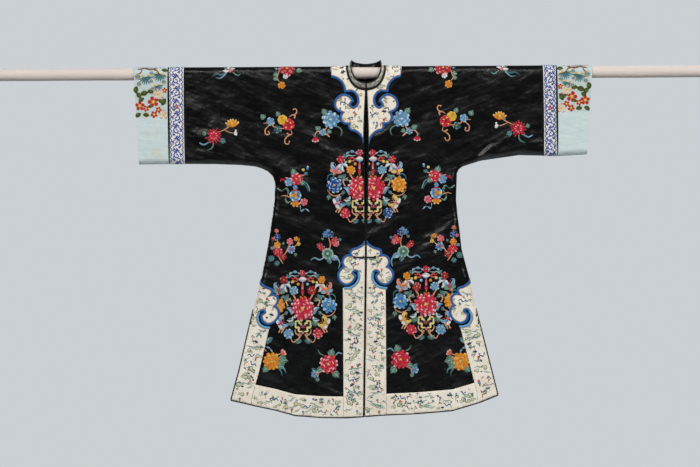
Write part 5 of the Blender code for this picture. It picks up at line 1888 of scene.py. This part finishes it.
def button(name, x, y, side, radius, level):
    bm = bmesh.new()
    bmesh.ops.create_uvsphere(bm, u_segments=20, v_segments=12, radius=radius)
    spot = hang(np.array([x]), np.array([y]), np.array([level]), side)[0]
    bmesh.ops.scale(bm, vec=(1.0, 0.8, 1.0), verts=bm.verts)
    bmesh.ops.translate(bm, vec=spot, verts=bm.verts)
    return add_piece(name, bm, PIPING)


def make_frog():
    """Two cord bars with a knob at each end, and the ball between them."""
    middle = float(column_at(CENTRE_FRONT, -FROG_HEIGHT, 1))
    for side in SIDES:
        sign = SIGN[side]
        end = sign * (FROG_REACH[side] - 3.4)
        path = [(middle + sign * 3.8, FROG_HEIGHT), ((middle + end) / 2, FROG_HEIGHT - 0.5),
                (end, FROG_HEIGHT)]
        bar = make_piping(f"frog_cord_{side}", curve(path, 24), *FROG_CORD, side)
        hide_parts(f"frog_{side}")
        knob = button(f"frog_knob_{side}", end, FROG_HEIGHT, side, 4.2, 4.2)
    knot = button("frog_ball", middle, FROG_HEIGHT, "left", 3.8, 6.4)
    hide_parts("frog_knot")


def make_rod():
    """The pole in its muslin cover, with a seam along it and slight unevenness."""
    bm, along, turn = grid_of(240, 64)
    x = (along - 0.5) * ROD_LENGTH
    angle = turn * 2 * math.pi
    sway = ROD_SEAM["sway"] * np.sin(x / 190)
    from_seam = np.mod(angle - ROD_SEAM["turn"] + sway, 2 * math.pi) - math.pi
    seam = ROD_SEAM["rise"] * np.exp(-(from_seam / ROD_SEAM["width"]) ** 2)
    uneven = 0.16 * np.sin(x / 47 + 3 * np.sin(angle)) + 0.12 * np.sin(x / 19 + 2 * angle)
    round_off = np.minimum(1, (ROD_LENGTH / 2 - np.abs(x)) / 4)
    radius = ROD_RADIUS - 0.3 + (seam + uneven) * round_off - 0.5 * (1 - round_off)
    move_to(bm, np.stack([x, radius * np.cos(angle), radius * np.sin(angle)], axis=1))
    close_up(bm)
    rod = add_piece("covered_rod", bm, MUSLIN)
    for face in rod.data.polygons:
        face.use_smooth = len(face.vertices) < 6
    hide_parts("rod")


def front_binding_path(side):
    """Down the front edge, along the hem and up to the top of the slit."""
    sign = SIGN[side]
    down = [(sign * (front_out(side, drop) - BINDING_OUT), -drop)
            for drop in smooth_drops(50, hem_drop(side, 3) - 2, 9)]
    outs = np.linspace(front_out(side, 1029) - BINDING_OUT, HEM[side][-1][0] + 1, 44)
    along = [(sign * out, -hem_drop(side, out) - BINDING_OUT) for out in outs]
    drops = smooth_drops(HEM[side][-1][1] - 2, SLIT_TOP + 3, 9)
    up = [(sign * (side_out(side, drop) + BINDING_OUT), -drop) for drop in drops]
    return down + along + up


def back_binding_path(side):
    """From the centre back out along the hem and up to the top of the slit."""
    path = front_binding_path(side)
    start = next(i for i, p in enumerate(path) if SIGN[side] * p[0] > 8 and p[1] < -1000)
    first = (0.0, -hem_drop(side, 0) - BINDING_OUT)
    return [(x, WRAP - y) for x, y in [first] + path[start:]]


def dress_half(side):
    """All the cloth of one half, from the satin out."""
    satin = make_half(side)
    sleeve, band, cuff = make_sleeve(side)
    runs = runs_of(CLOUD_HEAD)
    collar_runs = runs_of(CLOUD_COLLAR)
    outline = collar_outline(side)
    yoke = make_cream(f"yoke_{side}", outline, side, f"cloud_collar_{side}")
    trims = make_collar_trim(side, collar_runs)
    trims.append(scatter_tiny(f"yoke_sprigs_{side}", side, outline, 3))
    declare_sheet(outline)
    outline = kept_within(front_border_outline(side), side, 0.2, 0.2)
    border = make_cream(f"front_strip_{side}", outline, side, f"front_border_{side}")
    trims = make_trim(f"front_ribbon_{side}", runs, front_place, side, f"front_trim_{side}")
    trims.append(scatter_tiny(f"front_sprigs_{side}", side, outline, 4))
    declare_sheet(outline)
    for face in FACES:
        behind = face == "back"
        cut = kept_within(side_border_outline(side), side, 0.2, 0.2)
        outline = [to_back(p) for p in cut] if behind else cut
        node = f"side_border_{face}_{side}"
        border = make_cream(f"side_strip_{face}_{side}", outline, side, node)
        trims = make_trim(f"side_ribbon_{face}_{side}", runs, side_place, side,
                          f"side_trim_{face}_{side}")
        trims.append(scatter_tiny(f"side_sprigs_{face}_{side}", side, cut, 6, behind))
        declare_sheet(outline)
        cut = hem_border_outline(side, face)
        outline = [to_back(p) for p in cut] if behind else cut
        hem = make_cream(f"hem_strip_{face}_{side}", outline, side, f"hem_border_{face}_{side}")
        sprigs = scatter_tiny(f"hem_sprigs_{face}_{side}", side, cut, 8, behind)
        declare_sheet(outline)
    on_satin = []
    for face, path, node in (("front", front_binding_path(side), f"binding_{side}"),
                             ("back", back_binding_path(side), "binding_back")):
        piping = make_piping(f"piping_{face}_{side}", path, BINDING_RADIUS, BINDING_RADIUS,
                             BINDING_TOP, side)
        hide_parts(node)
        on_satin.append(piping)
    on_satin += embroider(side)
    declare_cloth(side)


def make_collar_trim(side, runs):
    """The cloud collar's ribbon and tan cord, front and back, joined over the shoulder."""
    half = TRIM_WIDTH / 2
    pieces = []
    for name, near, far, levels, colour, roll in (
        (f"yoke_ribbon_{side}", -half, half, TRIM, BLUE, 1.0),
        (f"tan_cord_yoke_{side}", -CORD_FAR, -CORD_NEAR, CORD, TAN, 0.4),
    ):
        lines = []
        for distance in (far, near):
            line = [collar_place(side, p) for p in moved_line(runs, distance)]
            line = kept_within(line, side, GAP, 0.0)
            over = [Vector((line[0].x, WRAP * share)) for share in OVER_ROD]
            lines.append([to_back(p) for p in line[::-1]] + over + line)
        outline = lines[0] + lines[1][::-1]
        piece, flat = lay_piece(name, outline, levels, TRIM_SPACING, side, RIBBON, roll)
        paint(piece, np.tile(dye(colour), (len(flat), 1)))
        pieces.append(piece)
    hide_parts(f"cloud_trim_{side}")
    return pieces


def declare_cloth(side):
    """Works out the satin's flat widths, which are not kept, and stitches the scrolls on the band
    and the blossoms on the cuff.
    """
    y = np.linspace(-1030, WRAP + 1030, 400)
    widths = np.minimum(outer_edge(side, y), 409) - inner_edge(side, y)
    worked = {"sleeve": (), "band": work_band(side), "cuff": work_cuff(side)}


NECK_KNOTS = {"left": (-34, -41), "right": (33, -43)}

make_rod()
for half in SIDES:
    dress_half(half)
make_collar_band()
make_frog()
for half, place in NECK_KNOTS.items():
    button(f"neck_knot_{half}", *place, half, 2.4, 6.0)


# Camera, light and floor

CAMERA_AWAY = 5.0
CAMERA_AIM = (-0.0507, -0.013, -0.4817)
CAMERA_ROLL = -0.0055
FRAME_WIDTH = 2.10
SENSOR = 36.0
BACKDROP = "#cbd0d4"
ROOM_COLOUR = "#d6dce2"
ROOM_LIGHT = 0.13
WARM = "#fffdf9"
WHITE = "#ffffff"
LAMPS = (  # name, place, aim, width, watts, colour
    ("key", (-2.3, -3.7, 2.4), (0, 0, -0.4), 0.9, 130, WARM),
    ("fill", (2.9, -3.4, 1.9), (0, 0, -0.5), 0.9, 110, WARM),
    ("upper", (0.3, -2.9, 3.1), (0, 0, -0.5), 0.9, 35, WARM),
    ("rear_key", (2.6, 2.6, 2.0), (0, 0, -0.4), 1.6, 110, WHITE),
    ("rear_fill", (-2.6, 3.0, 0.6), (0, 0, -0.4), 1.8, 70, WHITE),
)
FLOOR_RADIUS = 1.7
FLOOR_HEIGHT = -1.55

camera_data = bpy.data.cameras.new("camera")
camera_data.sensor_width = SENSOR
camera_data.lens = SENSOR * CAMERA_AWAY / FRAME_WIDTH
camera_data.clip_end = 60.0
camera = bpy.data.objects.new("camera", camera_data)
bpy.context.collection.objects.link(camera)
camera.location = (CAMERA_AIM[0], CAMERA_AIM[1] - CAMERA_AWAY, CAMERA_AIM[2])
camera.rotation_euler = (Matrix.Rotation(math.pi / 2, 3, "X")
                         @ Matrix.Rotation(CAMERA_ROLL, 3, "Z")).to_euler()
bpy.context.scene.camera = camera
bpy.context.scene.view_settings.view_transform = "Standard"

world = bpy.data.worlds.new("studio")
world.use_nodes = True
air = world.node_tree
backdrop = air.nodes["Background"]
backdrop.inputs["Color"].default_value = (*dye(BACKDROP), 1)
room_light = air.nodes.new("ShaderNodeBackground")
room_light.inputs["Color"].default_value = (*dye(ROOM_COLOUR), 1)
room_light.inputs["Strength"].default_value = ROOM_LIGHT
seen = air.nodes.new("ShaderNodeLightPath")
choice = air.nodes.new("ShaderNodeMixShader")
air.links.new(seen.outputs["Is Camera Ray"], choice.inputs[0])
air.links.new(room_light.outputs[0], choice.inputs[1])
air.links.new(backdrop.outputs[0], choice.inputs[2])
air.links.new(choice.outputs[0], air.nodes["World Output"].inputs["Surface"])
bpy.context.scene.world = world


def add_light(name, place, aim, width, watts, colour):
    data = bpy.data.lights.new(name, "AREA")
    data.shape = "DISK"
    data.size = width
    data.energy = watts
    data.color = dye(colour)
    lamp = bpy.data.objects.new(name, data)
    bpy.context.collection.objects.link(lamp)
    lamp.location = place
    lamp.rotation_euler = (Vector(aim) - Vector(place)).to_track_quat("-Z", "Y").to_euler()


for lamp_row in LAMPS:
    add_light(*lamp_row)

floor_bm = bmesh.new()
bmesh.ops.create_circle(floor_bm, cap_ends=True, segments=96, radius=FLOOR_RADIUS)
floor_mesh = bpy.data.meshes.new("floor")
bmesh.ops.translate(floor_bm, vec=(0, 0, FLOOR_HEIGHT), verts=floor_bm.verts)
floor_bm.to_mesh(floor_mesh)
floor_bm.free()
floor = bpy.data.objects.new("floor", floor_mesh)
bpy.context.collection.objects.link(floor)
floor_mesh.materials.append(Finish("studio_floor", "#c9ced2", 0.9).material)
